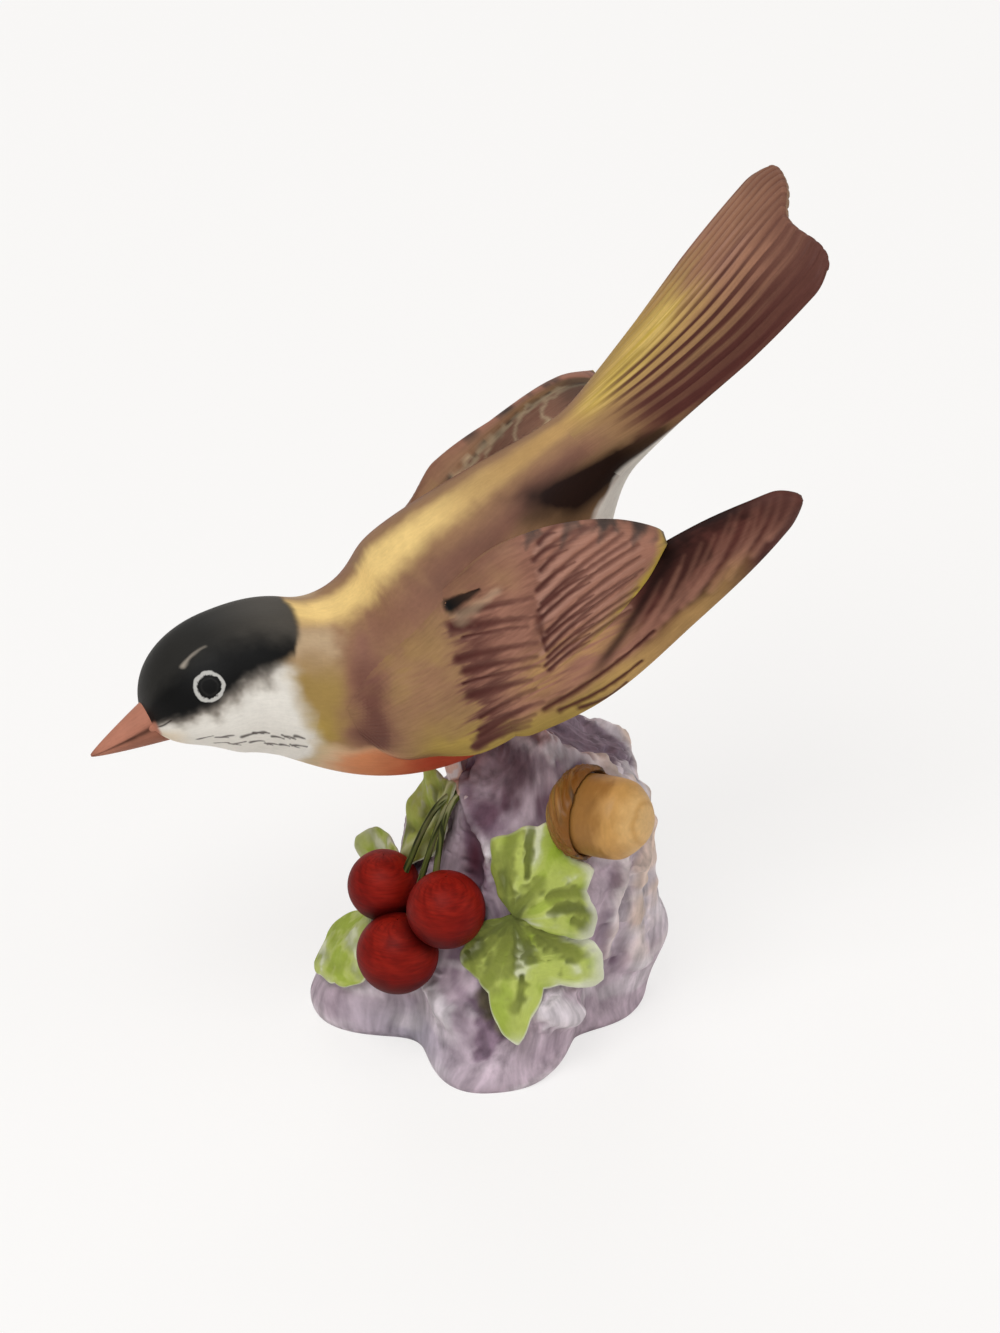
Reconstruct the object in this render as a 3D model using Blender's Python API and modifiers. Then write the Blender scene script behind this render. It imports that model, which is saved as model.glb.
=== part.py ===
"""Painted porcelain bird on a tree stump, with holly leaves, three berries and an acorn.

The figurine is cast in separate moulds, and the castings are stuck together with slip and
fired. Each casting is one object. Units are metres and +Z is up. The bird faces -X, its left
side is -Y, and the origin is the middle of the foot, on the table.
"""
import math

import bmesh
import bpy
import numpy as np
from mathutils import Matrix, Vector

# Slip joint between two castings
LUTING_GAP = 0.0003

# Stump
STUMP_HEIGHT = 0.0452
FOOT_RADIUS = 0.0170
WAIST_RADIUS = 0.0157
CROWN_RADIUS = 0.0088
CROWN_LEAN = 0.0076
CROWN_RETURN = 0.0045
CROWN_DOME = 0.321 * STUMP_HEIGHT
ROOT_COUNT = 4
ROOT_REACH = 0.0046
ROOT_SHOULDER = 0.188 * STUMP_HEIGHT
ROOT_HEIGHT = 0.398 * STUMP_HEIGHT
ROOT_TURN = math.radians(-104)
ROOT_VALLEY_RATIO = 1.5
ROOT_BREADTH_POWER = 1.5
BEVEL_RATIO = 0.42
BEVEL_ANGLE = math.radians(140)
BEVEL_SHARES = (0.45, 0.75)
BARK_DEPTH = 0.0006
BARK_FLUTES = ((5, 9), (3, -11))
STUMP_WALL = 0.0040
FOOT_THICKNESS = 0.0040
FLOOR_VENT_DIAMETER = 0.0060
FLOOR_VENT_OFFSET = 0.0070

# Body, measured from the seat on the crown of the stump
SEAT_OFFSET = 0.0025
SEAT_DEPTH = 0.0025
SEAT_VENT_DIAMETER = 0.0050
SEAT_VENT_OFFSET = 0.0040
NECK_REACH = 0.0283
NECK_RISE = 0.0073
NECK_DIAMETER = 0.0196
NECK_PITCH = math.radians(-15)
RUMP_REACH = 0.0120
RUMP_RISE = 0.0334
RUMP_DIAMETER = 0.0110
RUMP_PITCH = math.radians(46)
BODY_DEPTH = 0.0302
BODY_WIDTH = 0.0280
BREAST_DROP = 0.0020
BODY_WALL = 0.0032
HOLLOW_START_SHARE = 0.16
HOLLOW_END_SHARE = 0.80
BREAST_PULL_RATIO = 0.46
RUMP_PULL_RATIO = 0.42
BELLY_POWER = 1.2

# Head and beak
HEAD_LENGTH = 0.0188
HEAD_DEPTH = 0.0178
HEAD_WIDTH = 0.0182
HEAD_ROLL = math.radians(8)
HEAD_DROP = math.radians(7)
FACE_PITCH = math.radians(-20)
FACE_FLAT_RATIO = 0.96
NAPE_RATIO = 0.45
HEAD_CROWN = 0.0013
CROWN_PEAK_POWER = 0.8
CHIN_TUCK = 0.0018
CHIN_SHARES = (0.45, 0.95)
BEAK_LENGTH = 0.0083
BEAK_DEPTH = 0.0066
BEAK_WIDTH = 0.0057
BEAK_SEAT = 0.0022
GAPE_DEPTH = 0.0003
BEAK_POWER = 0.85
BEAK_TIP_RATIO = 0.05

# Wings, folded along the flanks
WING_LENGTH = 0.0633
WING_CHORD = 0.0280
WING_BULGE = 0.0026
WING_EDGE_INSET = 0.0010
WING_TIP_THICKNESS = 0.0019
WING_ROOT_SINK = 0.0050
WING_PITCH = math.radians(23.5)
WING_SPREAD = math.radians(7.5)
WING_CANT = math.radians(14)
SHOULDER_REACH = 0.0252
SHOULDER_RISE = 0.0076
SHOULDER_INSET = 0.0030
COVERT_LENGTH = 0.727 * WING_LENGTH
FLIGHT_START_SHARE = 0.16
FLIGHT_FREE_SHARES = (0.35, 0.60)
FLIGHT_ROOT_RATIO = 1.4
FLIGHT_TIP_RATIO = 0.7
COVERT_FREE_SHARES = (0.45, 0.80)
COVERT_THINNING_SHARES = (0.25, 1)
COVERT_TIP_RATIO = 1.7
COVERT_RIDGE_SHARES = (0.3, 0.6)
SHOULDER_ROUND_SHARE = 0.22
SHOULDER_FRONT_RATIO = 0.12
UNDER_RATIO = 0.4
EDGE_POWER = 0.6
UNDER_POWER = 0.4
COVERT_FEATHERS = 6
FLIGHT_FEATHERS = 5
FEATHER_RIDGE = 0.0004

# Tail fan
TAIL_LENGTH = 0.0400
TAIL_WIDTH = 0.0276
TAIL_TIP_THICKNESS = 0.0016
TAIL_CAMBER = 0.0018
TAIL_NOTCH = 0.0018
TAIL_SINK = 0.0050
TAIL_FEATHERS = 6
TAIL_FLARE_POWER = 0.8
TAIL_CORNER_SHARE = 0.07
TAIL_CORNER_DROP = 0.2
TAIL_THINNING_RATE = 1.3

# Legs
LEG_DIAMETER = 0.0026
TOE_DIAMETER = 0.0017
TOE_LENGTH = 0.0034
TOE_KNUCKLE_SHARE = 0.5
TOE_TIP_RATIO = 0.6
TOE_DROP_SHARES = (0.15, 0.50)
TOE_STAND_RATIOS = (1.1, 0.6)
FOOT_HEIGHT = 0.83 * STUMP_HEIGHT
HIP_REACH = 0.0015
HIP_RISE = 0.0070
LEG_ANGLE = math.radians(24)

# Berries: angle round the stump, share of its height, and share of the largest diameter
BERRY_DIAMETER = 0.0104
BERRIES = {
    "berry_right": (math.radians(-137), 0.504, 0.96),
    "berry_front": (math.radians(-155), 0.341, 1),
    "berry_left": (math.radians(-173), 0.469, 0.885),
}
BERRY_SINK = 0.0008
STEM_DIAMETER = 0.0013
STEM_ROOT = 0.0012
STEM_ANGLE = math.radians(-146)
STEM_HEIGHT = 0.774 * STUMP_HEIGHT
STEM_CLEARANCE_RATIO = 1.2
STEM_FAN_SHARE = 0.3
STEM_ARCH_SHARE = 0.5

# Leaves: angle and share of the stump's height at the stalk end, heading from straight down,
# share of the largest length, width as a share of the leaf's own length, and spines
LEAF_LENGTH = 0.332 * STUMP_HEIGHT
LEAVES = {
    "leaf_upper": (math.radians(-113), 0.763, math.radians(-28), 1, 0.833, 3),
    "leaf_lower": (math.radians(-86), 0.454, math.radians(20), 0.967, 1.276, 2),
    "leaf_sprig": (math.radians(-162), 0.774, math.radians(20), 0.70, 0.5, 1),
    "leaf_back": (math.radians(168), 0.631, math.radians(10), 0.733, 0.682, 1),
    "leaf_root": (math.radians(170), 0.365, math.radians(-6), 0.667, 0.85, 2),
}
LEAF_THICKNESS = 0.0014
LEAF_CURL = 0.0016
LEAF_TIP_SHARES = (0.45, 0.95)
LEAF_EDGE_RATIO = 0.35
VEIN_RATIO = 0.25
SPINE_RATIO = 0.42
SPINE_FADE_RATE = 3
STALK_RATIO = 0.06
LEAF_END_SHARES = (0.03, 0.99)
LEAF_BELLY_POWER = 0.7

# Acorn
ACORN_ANGLE = math.radians(-89)
ACORN_SWING = math.radians(40)
ACORN_TILT = math.radians(8)
ACORN_HEIGHT = 0.785 * STUMP_HEIGHT
ACORN_SINK = 0.0015
CUP_DIAMETER = 0.0120
CUP_DEPTH = 0.0064
CUP_FLOOR = 0.0032
CUP_FLAT_RATIO = 0.6
CUP_WALL_RISE = 0.4
CUP_LIP_RATIO = 0.6
CUP_BOWL_RATIO = 0.8
NUT_DIAMETER = 0.0104
NUT_LENGTH = 0.0096
NUT_TIP_RATIO = 0.30
NUT_TIP_DROP = 0.02
NUT_SHOULDER_RATIO = 0.45
NUT_SHOULDER_DROPS = (0.05, 0.33)
NUT_FOOT_RATIO = 0.55

# Facets
BODY_SIDES = 28
BODY_RINGS = 18
HEAD_RINGS = 14
STUMP_SIDES = 48
STUMP_RINGS = 20
BEAK_SIDES = 16
BEAK_RINGS = 8
TURNED_STEPS = 20
BERRY_SEGMENTS = 16
BERRY_RINGS = 9
SHADE_ANGLE = math.radians(40)

BLADE_TOP = 25
BLADE_UNDER = 5
TIER_RINGS = 15
TAIL_RINGS = 12
LEAF_TOP = 11
LEAF_RINGS = 13
STEM_POINTS = 7

UP = Vector((0, 0, 1))


def clear_scene():
    for item in list(bpy.data.objects):
        bpy.data.objects.remove(item, do_unlink=True)


def new_collection(name):
    collection = bpy.data.collections.new(name)
    bpy.context.scene.collection.children.link(collection)
    return collection


def bisque(name, colour, roughness=0.6):
    """Matt unglazed porcelain, painted in one colour."""
    material = bpy.data.materials.new(name)
    material.use_nodes = True
    shader = material.node_tree.nodes["Principled BSDF"]
    shader.inputs["Base Color"].default_value = (*colour, 1)
    shader.inputs["Roughness"].default_value = roughness
    shader.inputs["Metallic"].default_value = 0
    return material


def add_object(name, mesh, collection, material=None):
    item = bpy.data.objects.new(name, mesh)
    collection.objects.link(item)
    if material:
        mesh.materials.append(material)
    mesh.shade_smooth()
    mesh.set_sharp_from_angle(angle=SHADE_ANGLE)
    return item


def loft_mesh(name, rings):
    """Closed skin through rings of equally many points, with flat caps on the end rings."""
    rings = np.asarray(rings, dtype=float)
    shape = bmesh.new()
    rows = [[shape.verts.new(point) for point in ring] for ring in rings]
    for near, far in zip(rows, rows[1:]):
        for index in range(len(near)):
            after = (index + 1) % len(near)
            shape.faces.new((near[index], near[after], far[after], far[index]))
    shape.faces.new(rows[0][::-1])
    shape.faces.new(rows[-1])
    bmesh.ops.recalc_face_normals(shape, faces=shape.faces)
    mesh = bpy.data.meshes.new(name)
    shape.to_mesh(mesh)
    shape.free()
    return mesh


def tube_mesh(name, points, radii):
    """Round bar along a path, made from a bevelled curve whose caps are welded on."""
    curve = bpy.data.curves.new(name, "CURVE")
    curve.dimensions = "3D"
    curve.bevel_depth = 1
    curve.bevel_resolution = 2
    curve.use_fill_caps = True
    spline = curve.splines.new("POLY")
    spline.points.add(len(points) - 1)
    for knot, point, radius in zip(spline.points, points, radii):
        knot.co = (*point, 1)
        knot.radius = radius
    guide = bpy.data.objects.new(name, curve)
    bpy.context.scene.collection.objects.link(guide)
    graph = bpy.context.evaluated_depsgraph_get()
    mesh = bpy.data.meshes.new_from_object(guide.evaluated_get(graph))
    bpy.data.objects.remove(guide, do_unlink=True)
    shape = bmesh.new()
    shape.from_mesh(mesh)
    bmesh.ops.remove_doubles(shape, verts=shape.verts, dist=LUTING_GAP / 30)
    bmesh.ops.recalc_face_normals(shape, faces=shape.faces)
    shape.to_mesh(mesh)
    shape.free()
    return mesh


def turned(name, profile, collection, material):
    """Solid of revolution about its own Z from (radius, height) points, listed top to bottom."""
    shape = bmesh.new()
    knots = [shape.verts.new((radius, 0, height)) for radius, height in profile]
    for near, far in zip(knots, knots[1:]):
        shape.edges.new((near, far))
    mesh = bpy.data.meshes.new(name)
    shape.to_mesh(mesh)
    shape.free()
    item = add_object(name, mesh, collection, material)
    screw = item.modifiers.new("Turn", "SCREW")
    screw.steps = TURNED_STEPS
    screw.render_steps = TURNED_STEPS
    screw.use_merge_vertices = True
    screw.merge_threshold = LUTING_GAP / 30
    return item


def boolean(item, other, operation):
    cut = item.modifiers.new(f"{operation.title()} {other.name}", "BOOLEAN")
    cut.operation = operation
    cut.object = other
    cut.solver = "EXACT"


def hide_as_cutter(item):
    item.hide_render = True
    item.display_type = "WIRE"


def swollen(item, cutters):
    """Copy of a casting grown by the slip joint, which cuts the seat in its neighbours."""
    name = f"{item.name}_grown"
    if name in cutters.objects:
        return cutters.objects[name]
    grown = bpy.data.objects.new(name, item.data)
    cutters.objects.link(grown)
    grown.parent = item.parent
    grown.matrix_local = item.matrix_local
    for source in item.modifiers:
        if source.type == "SCREW":
            screw = grown.modifiers.new(source.name, "SCREW")
            screw.steps = source.steps
            screw.render_steps = source.render_steps
            screw.use_merge_vertices = True
            screw.merge_threshold = source.merge_threshold
    swell = grown.modifiers.new("Slip joint", "DISPLACE")
    swell.strength = LUTING_GAP
    swell.mid_level = 0
    hide_as_cutter(grown)
    return grown


def seat(item, neighbours, cutters):
    for neighbour in neighbours:
        boolean(item, swollen(neighbour, cutters), "DIFFERENCE")


def bore(name, diameter, low, high, x, cutters):
    """Upright round cutter between two heights."""
    bpy.ops.mesh.primitive_cylinder_add(
        vertices=TURNED_STEPS, radius=diameter / 2, depth=high - low, location=(x, 0, (low + high) / 2)
    )
    item = bpy.context.object
    item.name = name
    for owner in list(item.users_collection):
        owner.objects.unlink(item)
    cutters.objects.link(item)
    hide_as_cutter(item)
    return item


def mix(start, end, share):
    return start + (end - start) * share


def smooth_step(value):
    value = np.clip(value, 0, 1)
    return value * value * (3 - 2 * value)


def fade(value, start, end):
    """Nought up to start, one from end on, and smooth between them."""
    return smooth_step((value - start) / (end - start))


def through(knots, value):
    """Smooth curve through (place, size) knots, read at one place or at an array of places."""
    places, sizes = np.array(knots, dtype=float).T
    slopes = np.gradient(sizes, places)
    index = np.clip(np.searchsorted(places, value) - 1, 0, len(places) - 2)
    step = places[index + 1] - places[index]
    share = np.clip((value - places[index]) / step, 0, 1)
    near = (1 - share) ** 2
    far = share**2
    start = sizes[index] * (1 + 2 * share) * near + slopes[index] * step * share * near
    end = sizes[index + 1] * (3 - 2 * share) * far - slopes[index + 1] * step * (1 - share) * far
    return start + end


def bezier(knots, share):
    a, b, c, d = (np.array(knot, dtype=float) for knot in knots)
    return (
        a * (1 - share) ** 3
        + 3 * b * share * (1 - share) ** 2
        + 3 * c * share**2 * (1 - share)
        + d * share**3
    )


def heading(pitch):
    """Unit (x, z) direction towards the tail, raised by a pitch angle."""
    return np.array((math.cos(pitch), math.sin(pitch)))


def spine_rings(knots, half_above, half_under, half_width, shares, sides):
    """Oval rings square to a curve in the bird's middle plane, unlike above and under it."""
    turn = np.linspace(0, 2 * math.pi, sides, endpoint=False)
    nudge = 1e-3
    rings = []
    for share in shares:
        centre = bezier(knots, share)
        ahead = bezier(knots, share + nudge) - bezier(knots, share - nudge)
        ahead = ahead / np.linalg.norm(ahead)
        depth = np.where(np.cos(turn) > 0, half_above(share), half_under(share)) * np.cos(turn)
        side = half_width(share) * np.sin(turn)
        rings.append(np.column_stack((centre[0] - ahead[1] * depth, side, centre[1] + ahead[0] * depth)))
    return rings


def stump_centre(height):
    """How far the stump's middle leans towards the tail at a height."""
    share = min(max(height / STUMP_HEIGHT, 0), 1)
    return CROWN_LEAN * math.sin(share * math.pi / 2) - CROWN_RETURN * share**4


def stump_radius(angle, height, inset=0.0):
    """Radius of the bark: flared foot, waist and bevelled crown, with root lobes and shallow flutes."""
    share = min(max(height / STUMP_HEIGHT, 0), 1)
    if share < 0.5:
        mean = WAIST_RADIUS + (FOOT_RADIUS - WAIST_RADIUS) * (1 - 2 * share) ** 2
    else:
        mean = WAIST_RADIUS + (CROWN_RADIUS - WAIST_RADIUS) * (2 * share - 1) ** 2
    valley = (1 - np.cos(ROOT_COUNT * (angle - ROOT_TURN))) / 2
    lobe = ROOT_REACH * (1 - ROOT_VALLEY_RATIO * valley**ROOT_BREADTH_POWER)
    lobe = lobe * (1 - fade(height, ROOT_SHOULDER, ROOT_HEIGHT))
    flute = BARK_DEPTH * sum(np.sin(count * angle + twist * share) for count, twist in BARK_FLUTES)
    rise = (height - STUMP_HEIGHT + CROWN_DOME) / CROWN_DOME
    dome = math.sqrt(max(1 - max(rise, 0) ** 2, 0.01))
    bevel = BEVEL_RATIO * fade(share, *BEVEL_SHARES) * np.maximum(np.cos(angle - BEVEL_ANGLE), 0) ** 2
    return ((mean + lobe + flute) * (1 - bevel) - inset) * dome


def bark_point(angle, height):
    radius = stump_radius(angle, height)
    return np.array((stump_centre(height) + radius * math.cos(angle), radius * math.sin(angle), height))


def stump_point(angle, height, out=0.0):
    """Point that stands off the bark, square to it."""
    nudge = 1e-3
    step = nudge * STUMP_HEIGHT
    round_bark = bark_point(angle + nudge, height) - bark_point(angle - nudge, height)
    up_bark = bark_point(angle, height + step) - bark_point(angle, height - step)
    square = np.cross(round_bark, up_bark)
    return bark_point(angle, height) + out * square / np.linalg.norm(square)


def stump_rings(heights, sides, inset=0.0):
    turn = np.linspace(0, 2 * math.pi, sides, endpoint=False)
    rings = []
    for height in heights:
        radius = stump_radius(turn, height, inset)
        rings.append(
            np.column_stack(
                (
                    stump_centre(height) + radius * np.cos(turn),
                    radius * np.sin(turn),
                    np.full(sides, height),
                )
            )
        )
    return rings


def make_stump(parts, cutters):
    wall_rings = np.linspace(0, STUMP_HEIGHT - CROWN_DOME, STUMP_RINGS - 5)
    dome_rings = STUMP_HEIGHT - CROWN_DOME + CROWN_DOME * np.sin(np.linspace(0, math.pi / 2, 6))[1:]
    heights = np.concatenate((wall_rings, dome_rings))
    mesh = loft_mesh("stump_base", stump_rings(heights, STUMP_SIDES))
    stump = add_object("stump_base", mesh, parts, bisque("lilac_bark", (0.42, 0.33, 0.45)))
    ceiling = STUMP_HEIGHT - CROWN_DOME - STUMP_WALL
    hollow_heights = np.linspace(FOOT_THICKNESS, ceiling, STUMP_RINGS // 3)
    hollow_mesh = loft_mesh("stump_hollow", stump_rings(hollow_heights, STUMP_SIDES // 2, STUMP_WALL))
    hollow = add_object("stump_hollow", hollow_mesh, cutters)
    hide_as_cutter(hollow)
    boolean(stump, hollow, "DIFFERENCE")
    vent = bore(
        "floor_vent", FLOOR_VENT_DIAMETER, -FOOT_THICKNESS, 2 * FOOT_THICKNESS, FLOOR_VENT_OFFSET, cutters
    )
    boolean(stump, vent, "DIFFERENCE")
    return stump


def body_spine():
    neck = np.array((-NECK_REACH, NECK_RISE))
    rump = np.array((RUMP_REACH, RUMP_RISE))
    reach = np.linalg.norm(rump - neck)
    return (
        neck,
        neck + BREAST_PULL_RATIO * reach * heading(NECK_PITCH),
        rump - RUMP_PULL_RATIO * reach * heading(RUMP_PITCH),
        rump,
    )


def body_half(size):
    """Half depth or width along the body, from neck to rump, fullest at the belly."""
    swell = size / 2 - mix(NECK_DIAMETER, RUMP_DIAMETER, 0.5) / 2

    def half(share):
        bump = max(math.sin(math.pi * min(max(share, 0), 1)), 0) ** BELLY_POWER
        return mix(NECK_DIAMETER, RUMP_DIAMETER, share) / 2 + swell * bump

    return half


def body_under(size):
    """Half depth under the spine, which also holds the full breast."""
    half = body_half(size)
    return lambda share: half(share) + BREAST_DROP * math.sin(math.pi * math.sqrt(max(share, 0))) ** 2


def belly_height():
    """Height of the underside above the seat point, from the lower line of the body."""
    under = body_under(BODY_DEPTH)
    rings = spine_rings(body_spine(), under, under, under, np.linspace(0, 1, 60), 2)
    line = np.array([ring[1] for ring in rings])
    return line[np.abs(line[:, 0]).argmin(), 2]


def make_body(parts, cutters, bird):
    shares = np.linspace(0, 1, BODY_RINGS)
    rings = spine_rings(
        body_spine(), body_half(BODY_DEPTH), body_under(BODY_DEPTH), body_half(BODY_WIDTH), shares, BODY_SIDES
    )
    body = add_object(
        "bird_body", loft_mesh("bird_body", rings), parts, bisque("ochre_back", (0.45, 0.32, 0.16))
    )
    body.parent = bird
    inner = spine_rings(
        body_spine(),
        body_half(BODY_DEPTH - 2 * BODY_WALL),
        body_under(BODY_DEPTH - 2 * BODY_WALL),
        body_half(BODY_WIDTH - 2 * BODY_WALL),
        np.linspace(HOLLOW_START_SHARE, HOLLOW_END_SHARE, BODY_RINGS // 2),
        BODY_SIDES // 2,
    )
    hollow = add_object("body_hollow", loft_mesh("body_hollow", inner), cutters)
    hollow.parent = bird
    hide_as_cutter(hollow)
    boolean(body, hollow, "DIFFERENCE")
    return body


def make_seat_vent(stump, body, cutters):
    """Steam hole that joins the two hollows through the seat, and the seat cut in the crown."""
    low = STUMP_HEIGHT - CROWN_DOME - 2 * STUMP_WALL
    high = STUMP_HEIGHT - SEAT_DEPTH + 3 * BODY_WALL
    vent = bore("seat_vent", SEAT_VENT_DIAMETER, low, high, SEAT_VENT_OFFSET, cutters)
    seat(stump, [body], cutters)
    boolean(stump, vent, "DIFFERENCE")
    boolean(body, vent, "DIFFERENCE")


def head_spine():
    face = heading(FACE_PITCH) * (-1, 1)
    neck = heading(NECK_PITCH) * (-1, -1)
    start = neck * LUTING_GAP
    end = heading(HEAD_DROP) * -HEAD_LENGTH
    return start, start + neck * HEAD_LENGTH / 3, end - face * HEAD_LENGTH / 3, end


def head_half(size):
    """Half depth or width of the head, from the neck to the flat behind the beak."""

    def half(share):
        round_off = math.sqrt(1 - (FACE_FLAT_RATIO * min(max(share, 0), 1)) ** 4)
        return mix(NECK_DIAMETER, size, smooth_step(share / NAPE_RATIO)) / 2 * round_off

    return half


def head_above(share):
    crown = math.sin(math.pi * share**CROWN_PEAK_POWER)
    return head_half(HEAD_DEPTH)(share) + HEAD_CROWN * max(crown, 0)


def head_under(share):
    return head_half(HEAD_DEPTH)(share) - CHIN_TUCK * fade(share, *CHIN_SHARES)


def make_head(parts, bird):
    shares = np.linspace(0, 1, HEAD_RINGS)
    rings = spine_rings(head_spine(), head_above, head_under, head_half(HEAD_WIDTH), shares, BODY_SIDES)
    head = add_object(
        "bird_head", loft_mesh("bird_head", rings), parts, bisque("black_cap", (0.03, 0.028, 0.027))
    )
    along = heading(NECK_PITCH) * (-1, -1)
    axis = Vector((along[0], 0, along[1]))
    head.parent = bird
    head.matrix_local = Matrix.Translation((-NECK_REACH, 0, NECK_RISE)) @ Matrix.Rotation(HEAD_ROLL, 4, axis)
    return head


def make_beak(parts, head, cutters):
    """Pointed cone with a groove along the gape, socketed in the head."""
    turn = np.linspace(0, 2 * math.pi, BEAK_SIDES, endpoint=False)
    face = heading(FACE_PITCH) * (-1, 1)
    start = np.array(head_spine()[3]) - face * BEAK_SEAT
    rings = []
    for share in np.linspace(0, 1, BEAK_RINGS):
        taper = (1 - share) ** BEAK_POWER + BEAK_TIP_RATIO
        centre = start + face * (BEAK_LENGTH + BEAK_SEAT) * share
        groove = 1 - 2 * GAPE_DEPTH / BEAK_WIDTH * (np.abs(np.cos(turn)) < 0.1)
        rise = BEAK_DEPTH / 2 * taper * np.cos(turn)
        side = BEAK_WIDTH / 2 * taper * np.sin(turn) * groove
        rings.append(np.column_stack((centre[0] + face[1] * rise, side, centre[1] - face[0] * rise)))
    beak = add_object("beak", loft_mesh("beak", rings), parts, bisque("coral_beak", (0.62, 0.26, 0.16)))
    beak.parent = head
    seat(head, [beak], cutters)
    return beak


def blade_rings(shares, low, high, outer, inner, place):
    """Rings of a blade: the outer face from edge to edge, then the inner face back again."""
    across = np.linspace(0, 1, BLADE_TOP)
    back = (1 + np.cos(np.linspace(0, math.pi, BLADE_UNDER + 2)[1:-1])) / 2
    rings = []
    for share in shares:
        chord = mix(low(share), high(share), across)
        chord_back = mix(low(share), high(share), back)
        top = place(share, chord, outer(share, across))
        under = place(share, chord_back, inner(share, back))
        rings.append(np.vstack((top, under)))
    return rings


def arch(across, power=0.5):
    """One in the middle of a blade and nought at its edges."""
    return (4 * across * (1 - across)) ** power


def ridges(across, count):
    return FEATHER_RIDGE * np.abs(np.sin(count * math.pi * across))


# Outline of the folded wing as shares of its length and chord
LEADING_EDGE = ((0, -0.09), (0.04, -0.30), (0.142, -0.43), (0.284, -0.49), (0.458, -0.50),
                (0.711, -0.34), (0.894, -0.19), (1, -0.03))
COVERT_LOW = ((0, -0.09), (0.055, -0.30), (0.19, -0.43), (0.39, -0.47), (0.52, -0.36),
              (0.74, -0.16), (0.91, 0.036), (1, 0.13))
COVERT_HIGH = ((0, 0.03), (0.087, 0.15), (0.2, 0.25), (0.35, 0.35), (0.587, 0.41), (0.856, 0.34),
               (0.963, 0.24), (1, 0.17))
PRIMARY_HIGH = ((0, -0.25), (0.16, -0.20), (0.4, 0.0), (0.663, 0.07), (0.742, 0.10), (0.806, 0.125),
                (0.945, 0.115), (1, 0.02))


def wing_place(side, length):
    """Maps (share of length, chord, outward) to the bird's frame, on one side of the body."""
    span = Vector((math.cos(WING_PITCH) * math.cos(WING_SPREAD), side * math.sin(WING_SPREAD),
                   math.sin(WING_PITCH)))
    outward = Vector((0, side * math.cos(WING_CANT), math.sin(WING_CANT)))
    outward = (outward - span * outward.dot(span)).normalized()
    chordwise = span.cross(outward) * side
    if chordwise.z < 0:
        chordwise.negate()
    shoulder = np.array((-SHOULDER_REACH, side * (BODY_WIDTH / 2 - SHOULDER_INSET), SHOULDER_RISE))

    def place(share, chord, out):
        along = np.outer(np.full(len(chord), share * length), span)
        return shoulder + along + np.outer(chord, chordwise) + np.outer(out, outward)

    return place


def make_wing(name, side, parts, cutters, bird):
    """Flight feathers as one blade, and the shoulder with its coverts as a thicker one above."""
    def scaled(knots):
        return lambda share: WING_CHORD * through(knots, share)

    def inner_face(across, sink):
        return -WING_EDGE_INSET - (UNDER_RATIO * WING_TIP_THICKNESS + sink) * arch(across, UNDER_POWER)

    def primary_outer(share, across):
        thickness = WING_TIP_THICKNESS * mix(FLIGHT_ROOT_RATIO, FLIGHT_TIP_RATIO, share)
        return thickness * arch(across, EDGE_POWER) - WING_EDGE_INSET + ridges(across, FLIGHT_FEATHERS)

    def primary_inner(share, across):
        return inner_face(across, WING_ROOT_SINK * (1 - fade(share, *FLIGHT_FREE_SHARES)))

    def covert_outer(share, across):
        bulge = mix(WING_BULGE, COVERT_TIP_RATIO * WING_TIP_THICKNESS, fade(share, *COVERT_THINNING_SHARES))
        front = math.sqrt(1 - (1 - min(share / SHOULDER_ROUND_SHARE, 1)) ** 2)
        ridge = ridges(across, COVERT_FEATHERS) * fade(share, *COVERT_RIDGE_SHARES)
        return bulge * max(front, SHOULDER_FRONT_RATIO) * arch(across, EDGE_POWER) - WING_EDGE_INSET + ridge

    def covert_inner(share, across):
        return inner_face(across, WING_ROOT_SINK * (1 - fade(share, *COVERT_FREE_SHARES)))

    primary_shares = np.linspace(FLIGHT_START_SHARE, 1, TIER_RINGS)
    primary_rings = blade_rings(
        primary_shares, scaled(LEADING_EDGE), scaled(PRIMARY_HIGH), primary_outer, primary_inner,
        wing_place(side, WING_LENGTH),
    )
    covert_shares = np.concatenate(((0, 0.03), np.linspace(0.08, 1, TIER_RINGS - 2)))
    covert_rings = blade_rings(
        covert_shares, scaled(COVERT_LOW), scaled(COVERT_HIGH), covert_outer, covert_inner,
        wing_place(side, COVERT_LENGTH),
    )
    wing = add_object(
        name, loft_mesh(name, covert_rings), parts, bisque(f"{name}_mauve", (0.24, 0.15, 0.14))
    )
    flight = add_object(f"{name}_flight", loft_mesh(f"{name}_flight", primary_rings), cutters)
    for item in (wing, flight):
        item.parent = bird
    hide_as_cutter(flight)
    boolean(wing, flight, "UNION")
    return wing


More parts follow.
